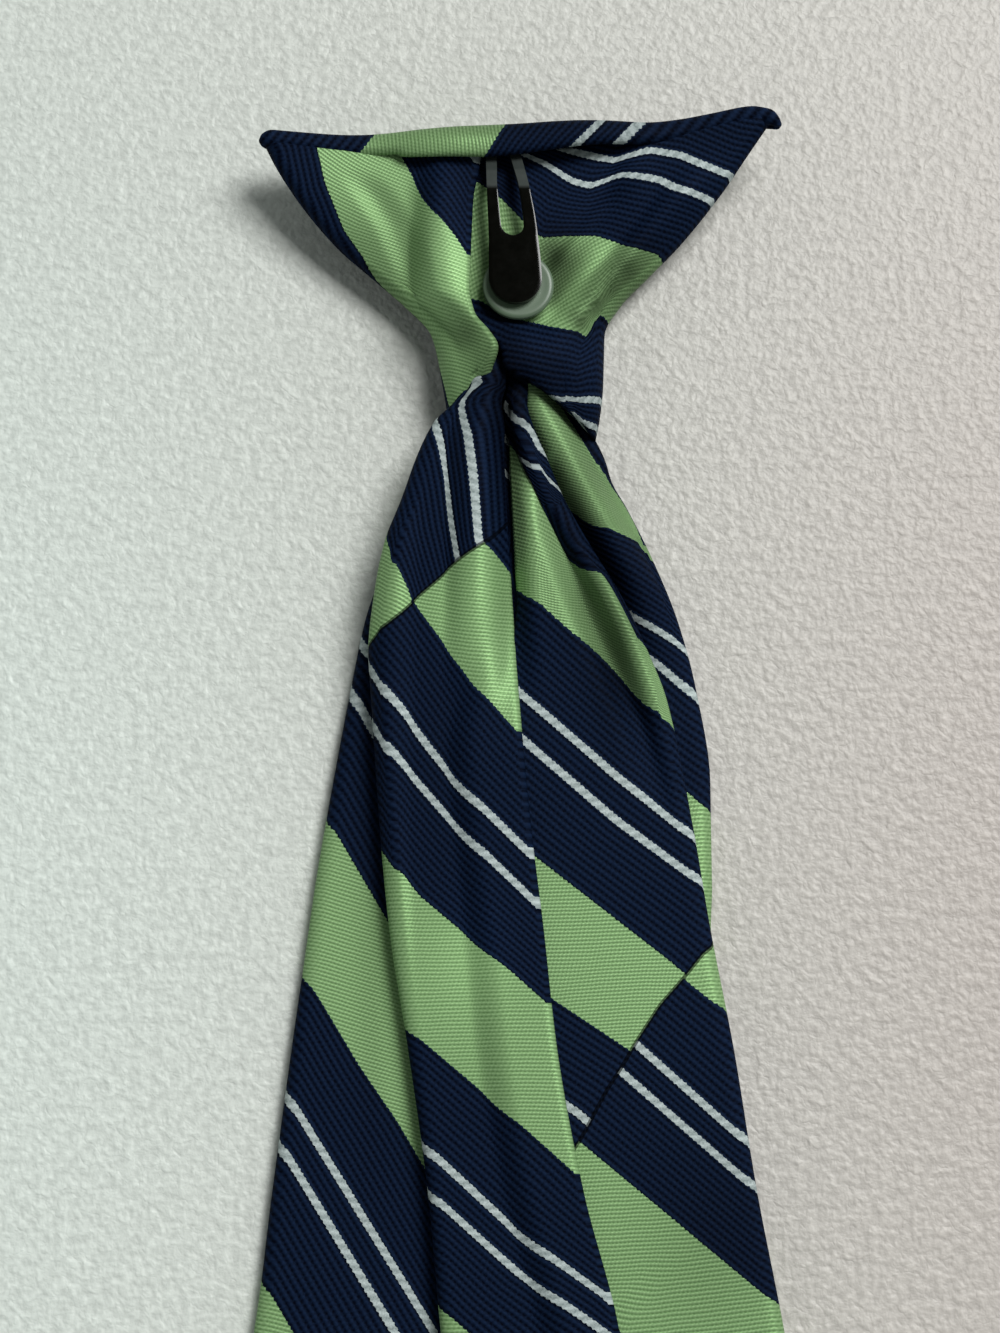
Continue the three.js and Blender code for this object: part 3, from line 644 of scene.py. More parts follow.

# %% [markdown]
# ## Painted shade and satin highlights on the cloth
# A sewn gather falls deeper than a smooth section can, and satin turned to the light shines in bands.
# More geometry could do both, at a high cost in points. Instead, a few soft spots of painted shade
# darken the cloth in its valleys, and a few painted satin highlights lighten it where the satin turns.
# They stay with the cloth, whatever the view.

# %% Where folds hold shade
# Each is x, drop, reach in x and in drop, and the share of light lost; below nothing for a gain.
SHADED_FOLDS = [
    # Painted shade in the mouth of the centre valley, and in the hollow beside the plate
    (-0.7, 4.0, 2.7, 6.5, 0.75), (-0.6, 12.0, 1.5, 7.0, 0.5),
    (5.2, -13.2, 2.9, 3.2, 0.85), (4.6, -9.4, 1.6, 2.4, 0.7), (-1.0, -4.0, 2.0, 3.0, 0.3),
    # Painted shade in the valleys between the ridges of the right flap, then of the left
    (9.0, 13.0, 6.0, 9.0, 0.38), (13.0, 30.0, 5.0, 12.0, 0.3), (6.5, 22.0, 3.0, 9.0, 0.2),
    (4.0, 3.0, 3.5, 3.5, 0.35), (9.0, 29.0, 2.2, 6.0, 0.35), (11.6, 36.0, 2.4, 7.0, 0.45),
    (-8.5, 45.0, 3.0, 20.0, 0.12), (-16.0, 60.0, 2.0, 30.0, 0.2),
    # Painted shade under the hem and round the clip
    (-17.0, -10.0, 5.0, 8.0, 0.25), (0.0, -29.0, 26.0, 2.6, 0.42), (-3.0, -22.0, 3.0, 4.0, 0.3),
    # Painted shade on the knot's right flap, turned from the light, with one painted satin band
    (9.8, -10.5, 8.5, 6.0, 0.42),
    (4.8, -5.8, 1.4, 1.8, -0.55), (6.6, -8.4, 1.3, 1.9, -0.5), (8.2, -10.8, 1.4, 1.9, -0.6),
    (9.9, -12.9, 1.4, 1.8, -0.6), (11.4, -14.6, 1.5, 1.6, -0.4),
    (7.8, -4.8, 1.5, 1.8, 0.7), (9.8, -7.2, 1.5, 1.8, 0.56), (11.8, -9.6, 1.5, 1.9, 0.5),
    (13.6, -11.8, 1.7, 1.8, 0.65), (15.5, -13.5, 2.5, 2.5, 0.35),
    # Larger soft painted shade and highlights on the neck tube, the left flap, the tail and the blade
    (-5.2, -2.4, 2.2, 2.6, 0.4), (-8.3, -9.5, 2.8, 3.4, -0.35), (-5.5, 31.0, 3.4, 6.0, -0.32),
    (-5.0, 70.0, 4.5, 7.0, -0.28), (22.0, 103.0, 9.0, 11.0, 0.25),
]


def light_kept(points):
    """The share of light that each point of the cloth keeps."""
    points = np.asarray(points, float)
    kept = np.ones(len(points))
    for x, drop, wide, long, lost in SHADED_FOLDS:
        away = ((points[:, 0] - x) / wide) ** 2 + ((NECK_Y - points[:, 1] - drop) / long) ** 2
        kept *= 1 - lost * np.exp(-away)
    return np.stack([kept] * 3, 1)


print("shaded spots", len(SHADED_FOLDS))

# %% [markdown]
# ## Weave numbers round one section
# A flap's field was read on the flat back. Its turn is laid out flat past the flap's edge and read
# from the same field, so the stripes run on round the fold instead of stopping at it.

# %% Weave numbers round one section
def flap_numbers(flaps, line, sizes, place_of):
    """Weave numbers along one section, for each flap's field, its turn and the front between them."""
    right, left = flaps
    bounds = np.cumsum([0, *sizes])
    right_flap, right_turn, front, left_turn, left_flap = (
        slice(bounds[i], bounds[i + 1]) for i in range(5)
    )

    def beyond(part, hinge, side):
        """Points of a turn laid out flat past the edge of its flap."""
        steps = np.linalg.norm(np.diff(np.vstack([line[hinge], line[part]]), axis=0), axis=1)
        flat = np.repeat(line[hinge][None], len(steps), 0)
        flat[:, 0] += side * np.cumsum(steps)
        return flat

    numbers = np.zeros((len(line), 3))
    right_layout = beyond(right_turn, bounds[1] - 1, 1)
    left_layout = beyond(slice(bounds[4] - 1, bounds[3] - 1, -1), bounds[4], -1)[::-1]
    for part, layout, source in (
        (right_flap, line[right_flap], right), (right_turn, right_layout, right),
        (left_turn, left_layout, left), (left_flap, line[left_flap], left),
    ):
        numbers[part] = source(place_of(layout))
    share = np.linspace(0, 1, sizes[2])[:, None]
    first, last = numbers[bounds[2] - 1], numbers[bounds[3]]
    return numbers, (front, first, last, share)


# %% [markdown]
# ## One folded tube
# Each station down the piece gives one ring. A ring may bow, because the knot's top is drawn down at
# its middle. The two flaps number their stripes apart, so the front between them is stretched to a
# whole number of repeats and no stripe breaks there.

# %% From sections to a folded piece
BOW_POWER = 1.25  # ends of the knot run in a softened V
FRONT_SHARE = 0.72  # how far the stripes climb across the front, as a share of its width


def folded_piece(name, stations, row_of, folds, counts, flaps, joined=None):
    """One folded tube through its stations. flaps are the fields of its right and left flap."""
    points = []
    layers = {"weave": flaps} if joined is None else {"weave": flaps, "weave_joined": joined}
    numbers, repeats = {layer: [] for layer in layers}, {}
    for at in stations:
        row = row_of(at)
        line, sizes = folded_line(row, folds, counts)
        middle, half = (row["left"] + row["right"]) / 2, (row["right"] - row["left"]) / 2

        def place_of(spots):
            share = np.clip((spots[:, 0] - middle) / half, -1, 1)
            y = NECK_Y - (row["drop"] + row["bow"] * np.abs(share) ** BOW_POWER + row["slant"] * share)
            return np.stack([spots[:, 0], y, spots[:, 1]], 1)

        outline, owner = wall_outline(line, CLOTH_WALL)
        points.append(place_of(outline))
        for layer, pair in layers.items():
            found, (front, first, last, share) = flap_numbers(pair, line, sizes, place_of)
            apart = first[0] - FRONT_SHARE * np.ptp(line[:, 0]) - last[0]
            whole = repeats.setdefault(layer, round(apart / REPEAT)) * REPEAT
            found[front.stop:, 0] += whole
            found[front] = first + (last + np.array([whole, 0, 0]) - first) * share
            numbers[layer].append(found[owner])
    fields = {layer: np.vstack(found) for layer, found in numbers.items()}
    fields["shade"] = light_kept(np.vstack(points))
    return new_piece(name, np.vstack(points), ring_faces(len(stations), len(owner)), fields)


# %% [markdown]
# ## The four cloth pieces
# The blade is the front of the tie, the tail is the narrow end on its back, the wrap is the knot's own
# cloth, and the hem is the knot's top edge, turned over to the back. All are pressed and sewn, so
# each is built as its folds lie.

# %% Blade
flat_counts = {"flap": 34, "front": 16, "turn": 7}
fold_stations = np.linspace(-0.02, 1, 116)
blade = folded_piece(
    "blade_cloth", [*fold_stations, *np.linspace(1.01, 2, 80), *np.linspace(2.02, BLUNT, 34)],
    blade_row, blade_folds, flat_counts, (with_seam(blade_right), with_seam(blade_left)),
)
print("blade faces", len(blade.data.polygons))

# %% Tail
tail = folded_piece(
    "tail_cloth", [*np.linspace(0, 1, 124), *np.linspace(1.01, 2, 60), *np.linspace(2.03, BLUNT, 20)],
    tail_row, tail_folds, flat_counts,
    (with_seam(tail_right_upper, beside_ridge), with_seam(tail_left_upper, above_left_joining)),
    (with_seam(ridge_or_joined), with_seam(tail_left)),
)
print("tail faces", len(tail.data.polygons))

# %% Knot wrap
knot_counts = {"flap": 44, "front": 30, "turn": 9}
knot = folded_piece(
    "knot_cloth", [*np.linspace(KNOT_TOP, -6.2, 52), *np.linspace(-6.0, KNOT_FOOT, 34)],
    knot_row, knot_folds, knot_counts, (with_seam(knot_right), with_seam(knot_left)),
)
print("knot faces", len(knot.data.polygons))

# %% [markdown]
# The hem is the knot's top edge, rolled over to the back from corner to corner. It could be bent off
# the wrap, but as a piece of its own it can stand open over the clip in the middle and close to a
# blunt nub at each corner. Each section is half a roll with a tongue of cloth tucked behind it.

# %% Hem
# Columns, in millimetres: x, the drop of the roll's top, and how far down the turned edge reaches
HEM_ROWS = [
    (-30.35, -28.0, -28.0), (-28.6, -28.3, -27.9), (-22.7, -28.35, -27.6), (-15.7, -28.65, -27.0),
    (-13.0, -28.8, -25.3), (-8.7, -29.05, -24.9), (-3.8, -29.35, -24.75), (0.5, -29.6, -25.1),
    (5.4, -29.9, -25.8), (10.0, -30.0, -26.4), (15.2, -30.05, -27.0), (20.0, -30.5, -29.2),
    (24.0, -31.0, -30.2), (28.5, -31.5, -30.4), (31.0, -30.9, -30.0), (32.35, -30.1, -29.6),
]
HEM_NUB, HEM_NUB_RUN = 0.95, 0.0505  # shares of the half width where the roll closes to a nub
HEM_SPACE, HEM_SINK, HEM_STAND = 0.35, 1.25, 2.2  # over the flap, sunk at the sides, up at the clip
HEM_LEAST = 0.3  # the least depth, and share of reach, that is left of the turned edge
HEM_TUCK = 0.25
# Shares of the half width between which the roll sinks at the sides, and stops standing at the clip
SINK_FROM, SINK_FULL = 0.35, 0.7
STAND_FULL, STAND_END = 0.2, 0.6


def hem_heights(top, share):
    """The front's height and the turned edge's height at a share of the half width."""
    front = CLOTH_WALL / 2 + top["rise"] * share**2
    flap = front + CLOTH_WALL + top["edge"] + (top["hollow"] - top["edge"]) * (1 - share**2)
    sunk = HEM_SINK * smooth(SINK_FROM, SINK_FULL, abs(share))
    stand = HEM_STAND * (1 - smooth(STAND_FULL, STAND_END, abs(share)))
    return front, flap + CLOTH_WALL + HEM_SPACE - sunk + stand


def hem_section(top, x, share):
    """The middle of the cloth round the roll, as drop and height."""
    front, over = hem_heights(top, share)
    reach = HEM_REACH * (HEM_LEAST + (1 - HEM_LEAST) * (1 - share**2) ** 1.5)
    edge = top["drop"] + top["bow"] * abs(share) ** BOW_POWER + top["slant"] * share
    outermost, lower = along_rows(HEM_ROWS, np.array([x]))[0]
    start = outermost + reach
    depth = max(max(lower, edge + 0.5) - CLOTH_WALL / 2 - start, HEM_LEAST)
    angle = np.linspace(0, math.pi, 17)
    rise = (front + over) / 2 - (over - front) / 2 * np.cos(angle)
    roll = np.stack([start - reach * np.sin(angle), rise], 1)
    parts = np.linspace(0.15, 1, 7)
    tucked = np.stack([start + depth * parts, over - HEM_TUCK * parts**2], 1)
    return np.vstack([roll, tucked])


def hem_piece():
    top = knot_row(KNOT_TOP)
    middle, edge_half = (top["left"] + top["right"]) / 2, (top["right"] - top["left"]) / 2
    places = np.concatenate([
        np.linspace(-1, -HEM_NUB, 8), np.linspace(-0.94, 0.94, 110), np.linspace(HEM_NUB, 1, 8),
    ])
    rings, numbers = [], []
    for place in places:
        x = KNOT_SKEW + place * KNOT_WIDTH / 2
        share = np.clip((x - middle) / edge_half, -1, 1)
        outline, _ = wall_outline(hem_section(top, x, share), CLOTH_WALL)
        nub = math.sqrt(max(1 - (max(abs(place) - HEM_NUB, 0) / HEM_NUB_RUN) ** 2, 0.02))
        outline = outline.mean(0) + (outline - outline.mean(0)) * nub
        ring = np.stack([np.full(len(outline), x), NECK_Y - outline[:, 0], outline[:, 1]], 1)
        rings.append(ring)
        numbers.append(with_seam(hem_field)(ring))
    points = np.vstack(rings)
    fields = {"weave": np.vstack(numbers), "shade": light_kept(points)}
    return new_piece("hem_cloth", points, ring_faces(len(rings), len(rings[0])), fields)


hem = hem_piece()
print("hem faces", len(hem.data.polygons))

# %% [markdown]
# ## The striped cloth
# The cloth is a glossy jacquard. The green bands are a twill whose fine ribs cross the stripes at 45
# degrees. The navy bands are ribbed along the stripes, and each white line looks like a twisted cord.
# All of it is worked out from the weave numbers, so no picture is needed, and the same heights that
# colour the threads also lift them in the bump.

# %% Node shorthand
def shorthand(tree):
    """A function that adds a math node and returns its result."""
    def calc(kind, *values):
        node = tree.nodes.new("ShaderNodeMath")
        node.operation = kind
        for number, value in enumerate(values):
            if isinstance(value, (int, float)):
                node.inputs[number].default_value = value
            else:
                tree.links.new(value, node.inputs[number])
        return node.outputs[0]

    return calc


def blended(tree, share, first, second):
    """A colour between two others; each is a socket or a plain colour."""
    node = tree.nodes.new("ShaderNodeMix")
    node.data_type = "RGBA"
    for socket, value in (("Factor", share), ("A", first), ("B", second)):
        found = [s for s in node.inputs if s.name == socket and s.enabled][0]
        if isinstance(value, (tuple, float)):
            found.default_value = (*value, 1) if isinstance(value, tuple) else value
        else:
            tree.links.new(value, found)
    return [s for s in node.outputs if s.enabled][0]


def parts_of(tree, vector):
    """The X, Y and Z of a vector."""
    node = tree.nodes.new("ShaderNodeSeparateXYZ")
    tree.links.new(vector, node.inputs[0])
    return node.outputs


def on_piece(tree):
    """Coordinates that stay with the piece, in metres."""
    return tree.nodes.new("ShaderNodeTexCoord").outputs["Object"]


def cloudy(tree, coordinates, scale, detail=2.0, distortion=0.0):
    """Soft noise between 0 and 1."""
    node = tree.nodes.new("ShaderNodeTexNoise")
    node.inputs["Scale"].default_value = scale
    node.inputs["Detail"].default_value = detail
    node.inputs["Distortion"].default_value = distortion
    tree.links.new(coordinates, node.inputs["Vector"])
    return node.outputs["Fac"]


def clamped(calc, value):
    """A value kept between 0 and 1."""
    return calc("MINIMUM", calc("MAXIMUM", value, 0.0), 1.0)


def either(calc, yes, first, second):
    """The first value where yes is 1, the second where it is 0."""
    return calc("ADD", calc("MULTIPLY", yes, first), calc("MULTIPLY", calc("SUBTRACT", 1.0, yes), second))


def raise_by(tree, shader, height, strength, distance):
    """Lets a height shade the surface as if it were raised."""
    bump = tree.nodes.new("ShaderNodeBump")
    bump.inputs["Strength"].default_value = strength
    bump.inputs["Distance"].default_value = distance
    tree.links.new(height, bump.inputs["Height"])
    tree.links.new(bump.outputs[0], shader.inputs["Normal"])


def new_material(name):
    material = bpy.data.materials.new(name)
    material.use_nodes = True
    return material, material.node_tree, material.node_tree.nodes["Principled BSDF"]


print("node helpers ready")

# %% [markdown]
# Each weave gets a height at every place. The green and the navy each add two sine waves, one for the
# ribs and one that breaks them into single threads. The white cord adds noise to its slanting turns.
# Real threads stray, so noise also shifts the green ribs and every tone a little.

# %% Heights of the three weaves
GREEN_DARK, GREEN_LIGHT = (0.115, 0.21, 0.082), (0.268, 0.425, 0.20)
NAVY_DARK, NAVY_LIGHT = (0.0002, 0.0009, 0.0045), (0.0055, 0.0135, 0.038)
WHITE_DARK, WHITE_LIGHT = (0.19, 0.23, 0.23), (0.48, 0.54, 0.54)
RIB_PITCH, NAVY_PITCH, CORD_PITCH = 0.46, 0.76, 1.3
FLOAT_LENGTH, THREAD_STEP = 0.46, 0.62
MOTTLE = 0.9  # how far single threads stray from the tone of their weave
ROUGHNESS = {"green": 0.46, "white": 0.6, "navy": 0.7}
GREEN_GLEAM = 0.22
# Half width and darkening of the dark line along each joining seam; along the navy ridge's side it is
# painted crease shade
SEAM_AND_CREASE_HALF, SEAM_AND_CREASE_SHADE = 0.22, 0.75


def weave_heights(tree, calc, across, along, threads):
    """How high the threads stand in the green twill, the white cord and the navy rib."""
    place = tree.nodes.new("ShaderNodeCombineXYZ")
    tree.links.new(across, place.inputs[0])
    tree.links.new(along, place.inputs[1])
    turn = lambda value: calc("SINE", calc("MULTIPLY", value, 2 * math.pi))
    wave = lambda value: calc("MULTIPLY_ADD", turn(value), 0.5, 0.5)
    # Green twill: ribs at 45 degrees, each broken into short floats
    rib = calc("DIVIDE", calc("ADD", across, along), RIB_PITCH * math.sqrt(2))
    wander = calc("SUBTRACT", cloudy(tree, place.outputs[0], 0.35, 1.0), 0.5)
    rib = calc("ADD", rib, calc("MULTIPLY", wander, 0.3))
    along_rib = calc("DIVIDE", calc("SUBTRACT", along, across), math.sqrt(2) * FLOAT_LENGTH)
    floats = wave(calc("ADD", along_rib, calc("MULTIPLY", calc("FLOOR", rib), 0.37)))
    green = calc("MULTIPLY_ADD", wave(rib), 0.75, calc("MULTIPLY", floats, 0.25))
    # Navy rib: rows along the stripes, bricked
    row = calc("DIVIDE", across, NAVY_PITCH)
    brick = calc("ADD", calc("DIVIDE", along, THREAD_STEP), calc("MULTIPLY", calc("FLOOR", row), 0.5))
    navy = calc("MULTIPLY_ADD", wave(row), 0.75, calc("MULTIPLY", wave(brick), 0.25))
    # White cord: slanting turns
    slant = calc("ADD", calc("DIVIDE", along, CORD_PITCH), calc("MULTIPLY", across, 0.55))
    white = calc("MULTIPLY_ADD", wave(slant), 0.5, calc("MULTIPLY", threads, 0.5))
    return green, white, navy


# %% [markdown]
# The masks then tell green, white and navy apart, and each takes its own dark and light tone by that
# height. Green floats gleam like satin, so that band is smoother and a touch metallic. The painted
# shade and highlights of the folds are multiplied in last, with a dark line along each joining seam
# that also runs along the navy ridge's side as painted crease shade.

# %% Striped cloth
def stripe_masks(calc, across, along, threads):
    """1 inside the green band and 1 on the white lines, with edges as ragged as threads are."""
    teeth = calc("SUBTRACT", calc("PINGPONG", calc("DIVIDE", along, THREAD_STEP), 0.5), 0.25)
    fray = calc("MULTIPLY", calc("SUBTRACT", threads, 0.5), 0.25)
    ragged = calc("ADD", calc("MULTIPLY", teeth, 0.22), fray)
    band = calc("FLOORED_MODULO", calc("ADD", across, ragged), REPEAT)
    from_a = calc("ABSOLUTE", calc("SUBTRACT", band, BAND_EDGES["white_a"]))
    from_b = calc("ABSOLUTE", calc("SUBTRACT", band, BAND_EDGES["white_b"]))
    in_white = calc("LESS_THAN", calc("MINIMUM", from_a, from_b), WHITE_HALF)
    return calc("GREATER_THAN", band, BAND_EDGES["green"]), in_white


def striped_cloth():
    material, tree, shader = new_material("woven_stripes")
    calc = shorthand(tree)

    def read(name):
        node = tree.nodes.new("ShaderNodeAttribute")
        node.attribute_name = name
        return parts_of(tree, node.outputs["Vector"])

    upper, lower = read("weave"), read("weave_joined")
    past_seam = calc("LESS_THAN", upper["Z"], 0.0)
    across, along = (either(calc, past_seam, lower[axis], upper[axis]) for axis in "XY")
    place = tree.nodes.new("ShaderNodeCombineXYZ")
    tree.links.new(across, place.inputs[0])
    tree.links.new(along, place.inputs[1])
    threads = cloudy(tree, place.outputs[0], 4.5)
    in_green, in_white = stripe_masks(calc, across, along, threads)
    green, white, navy = weave_heights(tree, calc, across, along, threads)

    choose = lambda green, white, navy: either(calc, in_green, green, either(calc, in_white, white, navy))
    mottled = lambda height, dark, light: blended(
        tree, calc("MULTIPLY_ADD", calc("SUBTRACT", threads, 0.5), MOTTLE, height), dark, light
    )
    dark_part = blended(
        tree, in_white, mottled(navy, NAVY_DARK, NAVY_LIGHT), mottled(white, WHITE_DARK, WHITE_LIGHT)
    )
    colour = blended(tree, in_green, dark_part, mottled(green, GREEN_DARK, GREEN_LIGHT))
    # Painted shade: the dark line along seams and the navy ridge's side, times the painted shade and
    # highlights of the folds
    on_seam_or_crease = calc("LESS_THAN", calc("ABSOLUTE", upper["Z"]), SEAM_AND_CREASE_HALF)
    kept = calc("SUBTRACT", 1.0, calc("MULTIPLY", on_seam_or_crease, SEAM_AND_CREASE_SHADE))
    shaded = tree.nodes.new("ShaderNodeVectorMath")
    shaded.operation = "SCALE"
    tree.links.new(colour, shaded.inputs[0])
    tree.links.new(calc("MULTIPLY", kept, read("shade")["X"]), shaded.inputs["Scale"])
    tree.links.new(shaded.outputs[0], shader.inputs["Base Color"])
    tree.links.new(choose(*ROUGHNESS.values()), shader.inputs["Roughness"])
    tree.links.new(calc("MULTIPLY", in_green, GREEN_GLEAM), shader.inputs["Metallic"])
    shader.inputs["Specular IOR Level"].default_value = 0.03
    height = choose(calc("MULTIPLY", green, 0.6), calc("ADD", white, 0.4), navy)
    raise_by(tree, shader, height, strength=0.6, distance=0.12 * MM)
    return material


cloth = striped_cloth()
for piece, node in ((blade, "front_blade"), (tail, "tail"), (knot, "knot_wrap"), (hem, "knot_hem")):
    piece.data.materials.append(cloth)
    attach(piece, "root")
    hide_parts(node)
print("cloth nodes", len(cloth.node_tree.nodes))

# %% [markdown]
# ## The clip and its plate
# The clip is a flat strip of spring steel in black lacquer: two legs come out from under the hem,
# climb a little and join in a round-ended tongue. Where the legs slope up they carry a painted
# reflection of the bright room in grey. The tongue presses on a small disc of milky plastic. Both
# finishes vary a little with soft noise, as a perfectly even black or white would look printed.

# %% Clip and plate finishes
REFLECTION_FROM, REFLECTION_RUN = 20.4, 0.5  # millimetres above the neck line where the painted grey reflection starts on the legs


def lacquer():
    material, tree, shader = new_material("black_lacquer")
    calc = shorthand(tree)
    coordinates = on_piece(tree)
    uneven = cloudy(tree, coordinates, 900.0)
    # Painted reflection: above this height the legs are painted grey, as glossy black reflects the room
    past = calc("SUBTRACT", parts_of(tree, coordinates)["Y"], (NECK_Y + REFLECTION_FROM) * MM)
    in_reflection = clamped(calc, calc("MULTIPLY", past, 1 / (REFLECTION_RUN * MM)))
    black = blended(tree, uneven, (0.0006, 0.0007, 0.0003), (0.0014, 0.0015, 0.0008))
    reflected_grey = blended(tree, uneven, (0.022, 0.027, 0.025), (0.04, 0.046, 0.044))
    tree.links.new(blended(tree, in_reflection, black, reflected_grey), shader.inputs["Base Color"])
    tree.links.new(calc("MULTIPLY_ADD", uneven, 0.08, 0.08), shader.inputs["Roughness"])
    shader.inputs["Specular IOR Level"].default_value = 0.3
    return material


def milky():
    material, tree, shader = new_material("milky_plastic")
    uneven = cloudy(tree, on_piece(tree), 500.0)
    tone = blended(tree, uneven, (0.07, 0.105, 0.068), (0.095, 0.14, 0.09))
    tree.links.new(tone, shader.inputs["Base Color"])
    shader.inputs["Roughness"].default_value = 0.4
    return material


# The grey above this height on the legs is a painted reflection
print("lacquer wears off", REFLECTION_FROM, "mm above the neck line")

# %% [markdown]
# The strip is first drawn as a surface of two ribs, left and right of the slot, that meet below it.
# A thickness and a rounded stamped edge are then worked in, as a press would leave them.

# %% Spring clip
CLIP_LENGTH, CLIP_WALL = 22.8, 0.7
CLIP_ROOT_DROP = -28.95
CLIP_ROOT_HEIGHT, CLIP_TONGUE_HEIGHT = 7.69, 10.17
CLIP_CLIMB_FROM, CLIP_CLIMB_RUN = 2.2, 6.2
SLOT_HALF, SLOT_END = 1.35, 14.4
TONGUE_RADIUS = 3.12
STAMPED_EDGE = 0.16
RIB_COLUMNS = 7  # points across each rib of the strip
# Columns, in millimetres from the root: place, middle, half width, slot half width
CLIP_ROWS = [
    (0.0, -1.4, 1.95, 0.45), (2.8, -1.15, 2.05, 0.72), (5.6, -0.81, 2.29, 1.01),
    (8.3, -0.5, 2.52, 1.28), (11.9, -0.1, 2.78, 1.35), (14.4, 0.11, 2.9, 1.35),
    (18.0, 0.3, 3.08, 1.35), (19.6, 0.35, TONGUE_RADIUS, 1.35), (22.8, 0.4, TONGUE_RADIUS, 1.35),
]


def clip_height(place):
    """The legs climb evenly from the root to the flat tongue."""
    climb = np.clip((place - CLIP_CLIMB_FROM) / CLIP_CLIMB_RUN, 0, 1)
    climb = 0.8 * climb + 0.2 * smooth(0, 1, climb)
    return CLIP_ROOT_HEIGHT + (CLIP_TONGUE_HEIGHT - CLIP_ROOT_HEIGHT) * climb


def clip_surface():
    """Points and faces of the strip without its thickness."""
    round_start = SLOT_END - SLOT_HALF
    quarter = np.linspace(0, math.pi / 2, 12)
    steps = np.concatenate([
        np.linspace(0, round_start - 0.2, 44), round_start + SLOT_HALF * np.sin(quarter),
        np.linspace(SLOT_END + 0.2, 19.4, 18),
        CLIP_LENGTH - TONGUE_RADIUS + TONGUE_RADIUS * np.sin(quarter * 0.96),
    ])
    points, faces = [], []
    for place in steps:
        middle, half, slot = along_rows(CLIP_ROWS, np.array([place]))[0]
        slot = min(slot, math.sqrt(max(SLOT_HALF**2 - max(place - round_start, 0) ** 2, 0)))
        if place > CLIP_LENGTH - half:
            half = math.sqrt(max(half**2 - (place - CLIP_LENGTH + half) ** 2, 0.0004))
        shares = np.linspace(0, 1, RIB_COLUMNS)
        left = middle - half + (half - slot) * shares
        right = middle + slot + (half - slot) * shares
        y, height = NECK_Y - (CLIP_ROOT_DROP + place), clip_height(place)
        points += [(x, y, height) for x in (*left, *right)]
    across = 2 * RIB_COLUMNS
    for row in range(len(steps) - 1):
        for column in (*range(RIB_COLUMNS - 1), *range(RIB_COLUMNS, across - 1)):
            a = row * across + column
            faces.append((a, a + 1, a + 1 + across, a + across))
    return points, faces


def welded(piece):
    """The piece with its two ribs joined where they meet."""
    made = bmesh.new()
    made.from_mesh(piece.data)
    bmesh.ops.remove_doubles(made, verts=made.verts, dist=0.00001)
    bmesh.ops.dissolve_degenerate(made, edges=made.edges, dist=0.000005)
    bmesh.ops.recalc_face_normals(made, faces=made.faces)
    made.to_mesh(piece.data)
    made.free()
    return piece


def applied(piece):
    """The piece with its modifiers worked into its mesh."""
    seen = piece.evaluated_get(bpy.context.evaluated_depsgraph_get())
    shape = bpy.data.meshes.new_from_object(seen)
    piece.modifiers.clear()
    piece.data = shape
    shape.polygons.foreach_set("use_smooth", [True] * len(shape.polygons))
    return piece


def clip_piece():
    points, faces = clip_surface()
    piece = welded(new_piece("clip_strip", points, faces, {}))
    strip = piece.modifiers.new("strip thickness", "SOLIDIFY")
    strip.thickness = CLIP_WALL * MM
    strip.offset = 0
    edge = piece.modifiers.new("stamped edge", "BEVEL")
    edge.width = STAMPED_EDGE * MM
    edge.segments = 3
    edge.limit_method = "ANGLE"
    edge.angle_limit = math.radians(50)
    return applied(piece)


clip = clip_piece()
clip.data.materials.append(lacquer())
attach(clip, "root")
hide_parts("spring_clip")
print("clip faces", len(clip.data.polygons))

# %% [markdown]
# The plate is a turned shape: a disc with a soft raised rim. A narrow stem ties it to the cloth below.

# %% Collar plate
PLATE_CENTRE = (0.7, 8.78 + NECK_Y, 9.02)
PLATE_TURNS = 72
# The disc's section from its middle to its rim and back: distance out and height
PLATE_SECTION = [
    (0.0, 0.36), (2.9, 0.36), (3.3, 0.37), (3.6, 0.4), (3.85, 0.39), (4.06, 0.3), (4.19, 0.12),
    (4.22, -0.08), (4.15, -0.28), (3.98, -0.42), (3.7, -0.48), (2.2, -0.5), (1.8, -0.6),
    (1.6, -0.9), (1.6, -1.25), (0.0, -1.25),
]


def plate_piece():
    points = []
    for out, height in PLATE_SECTION[1:-1]:
        for turn in range(PLATE_TURNS):
            angle = 2 * math.pi * turn / PLATE_TURNS
            points.append((out * math.cos(angle), out * math.sin(angle), height))
    rings = len(PLATE_SECTION) - 2
    faces = ring_faces(rings, PLATE_TURNS)[:-2]
    top, bottom = len(points), len(points) + 1
    points += [(0, 0, PLATE_SECTION[0][1]), (0, 0, PLATE_SECTION[-1][1])]
    last_ring = (rings - 1) * PLATE_TURNS
    for turn in range(PLATE_TURNS):
        after = (turn + 1) % PLATE_TURNS
        faces.append((top, turn, after))
        faces.append((bottom, last_ring + after, last_ring + turn))
    return new_piece("plate_disc", np.array(points) + np.array(PLATE_CENTRE), faces, {})


plate = plate_piece()
plate.data.materials.append(milky())
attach(plate, "root")
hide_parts("collar_plate")
print("plate faces", len(plate.data.polygons))

# %% [markdown]
# ## The table
# The tie lies on a pale, finely pebbled table. Raised pebbles in the mesh would take millions of
# faces, so noise of three sizes draws them in the colour and the bump alike. Round the knot the table
# is painted with the fall of the light: lighter and greener on the left, darker and rosier on the
# right and darker beyond the top. This painted shade is part of its colour and fades out further away.

# %% Table
TABLE_HALF = 1500
# Each pair is the tone at the left and at the right; the darker, rosier right is painted shade
TABLE_LIGHT = ((0.81, 0.89, 0.84), (0.505, 0.43, 0.40))
TABLE_DARK = ((0.55, 0.605, 0.57), (0.33, 0.275, 0.255))
SPECK_SIZE, SPECK_COLOUR = 0.009, (0.16, 0.16, 0.17)
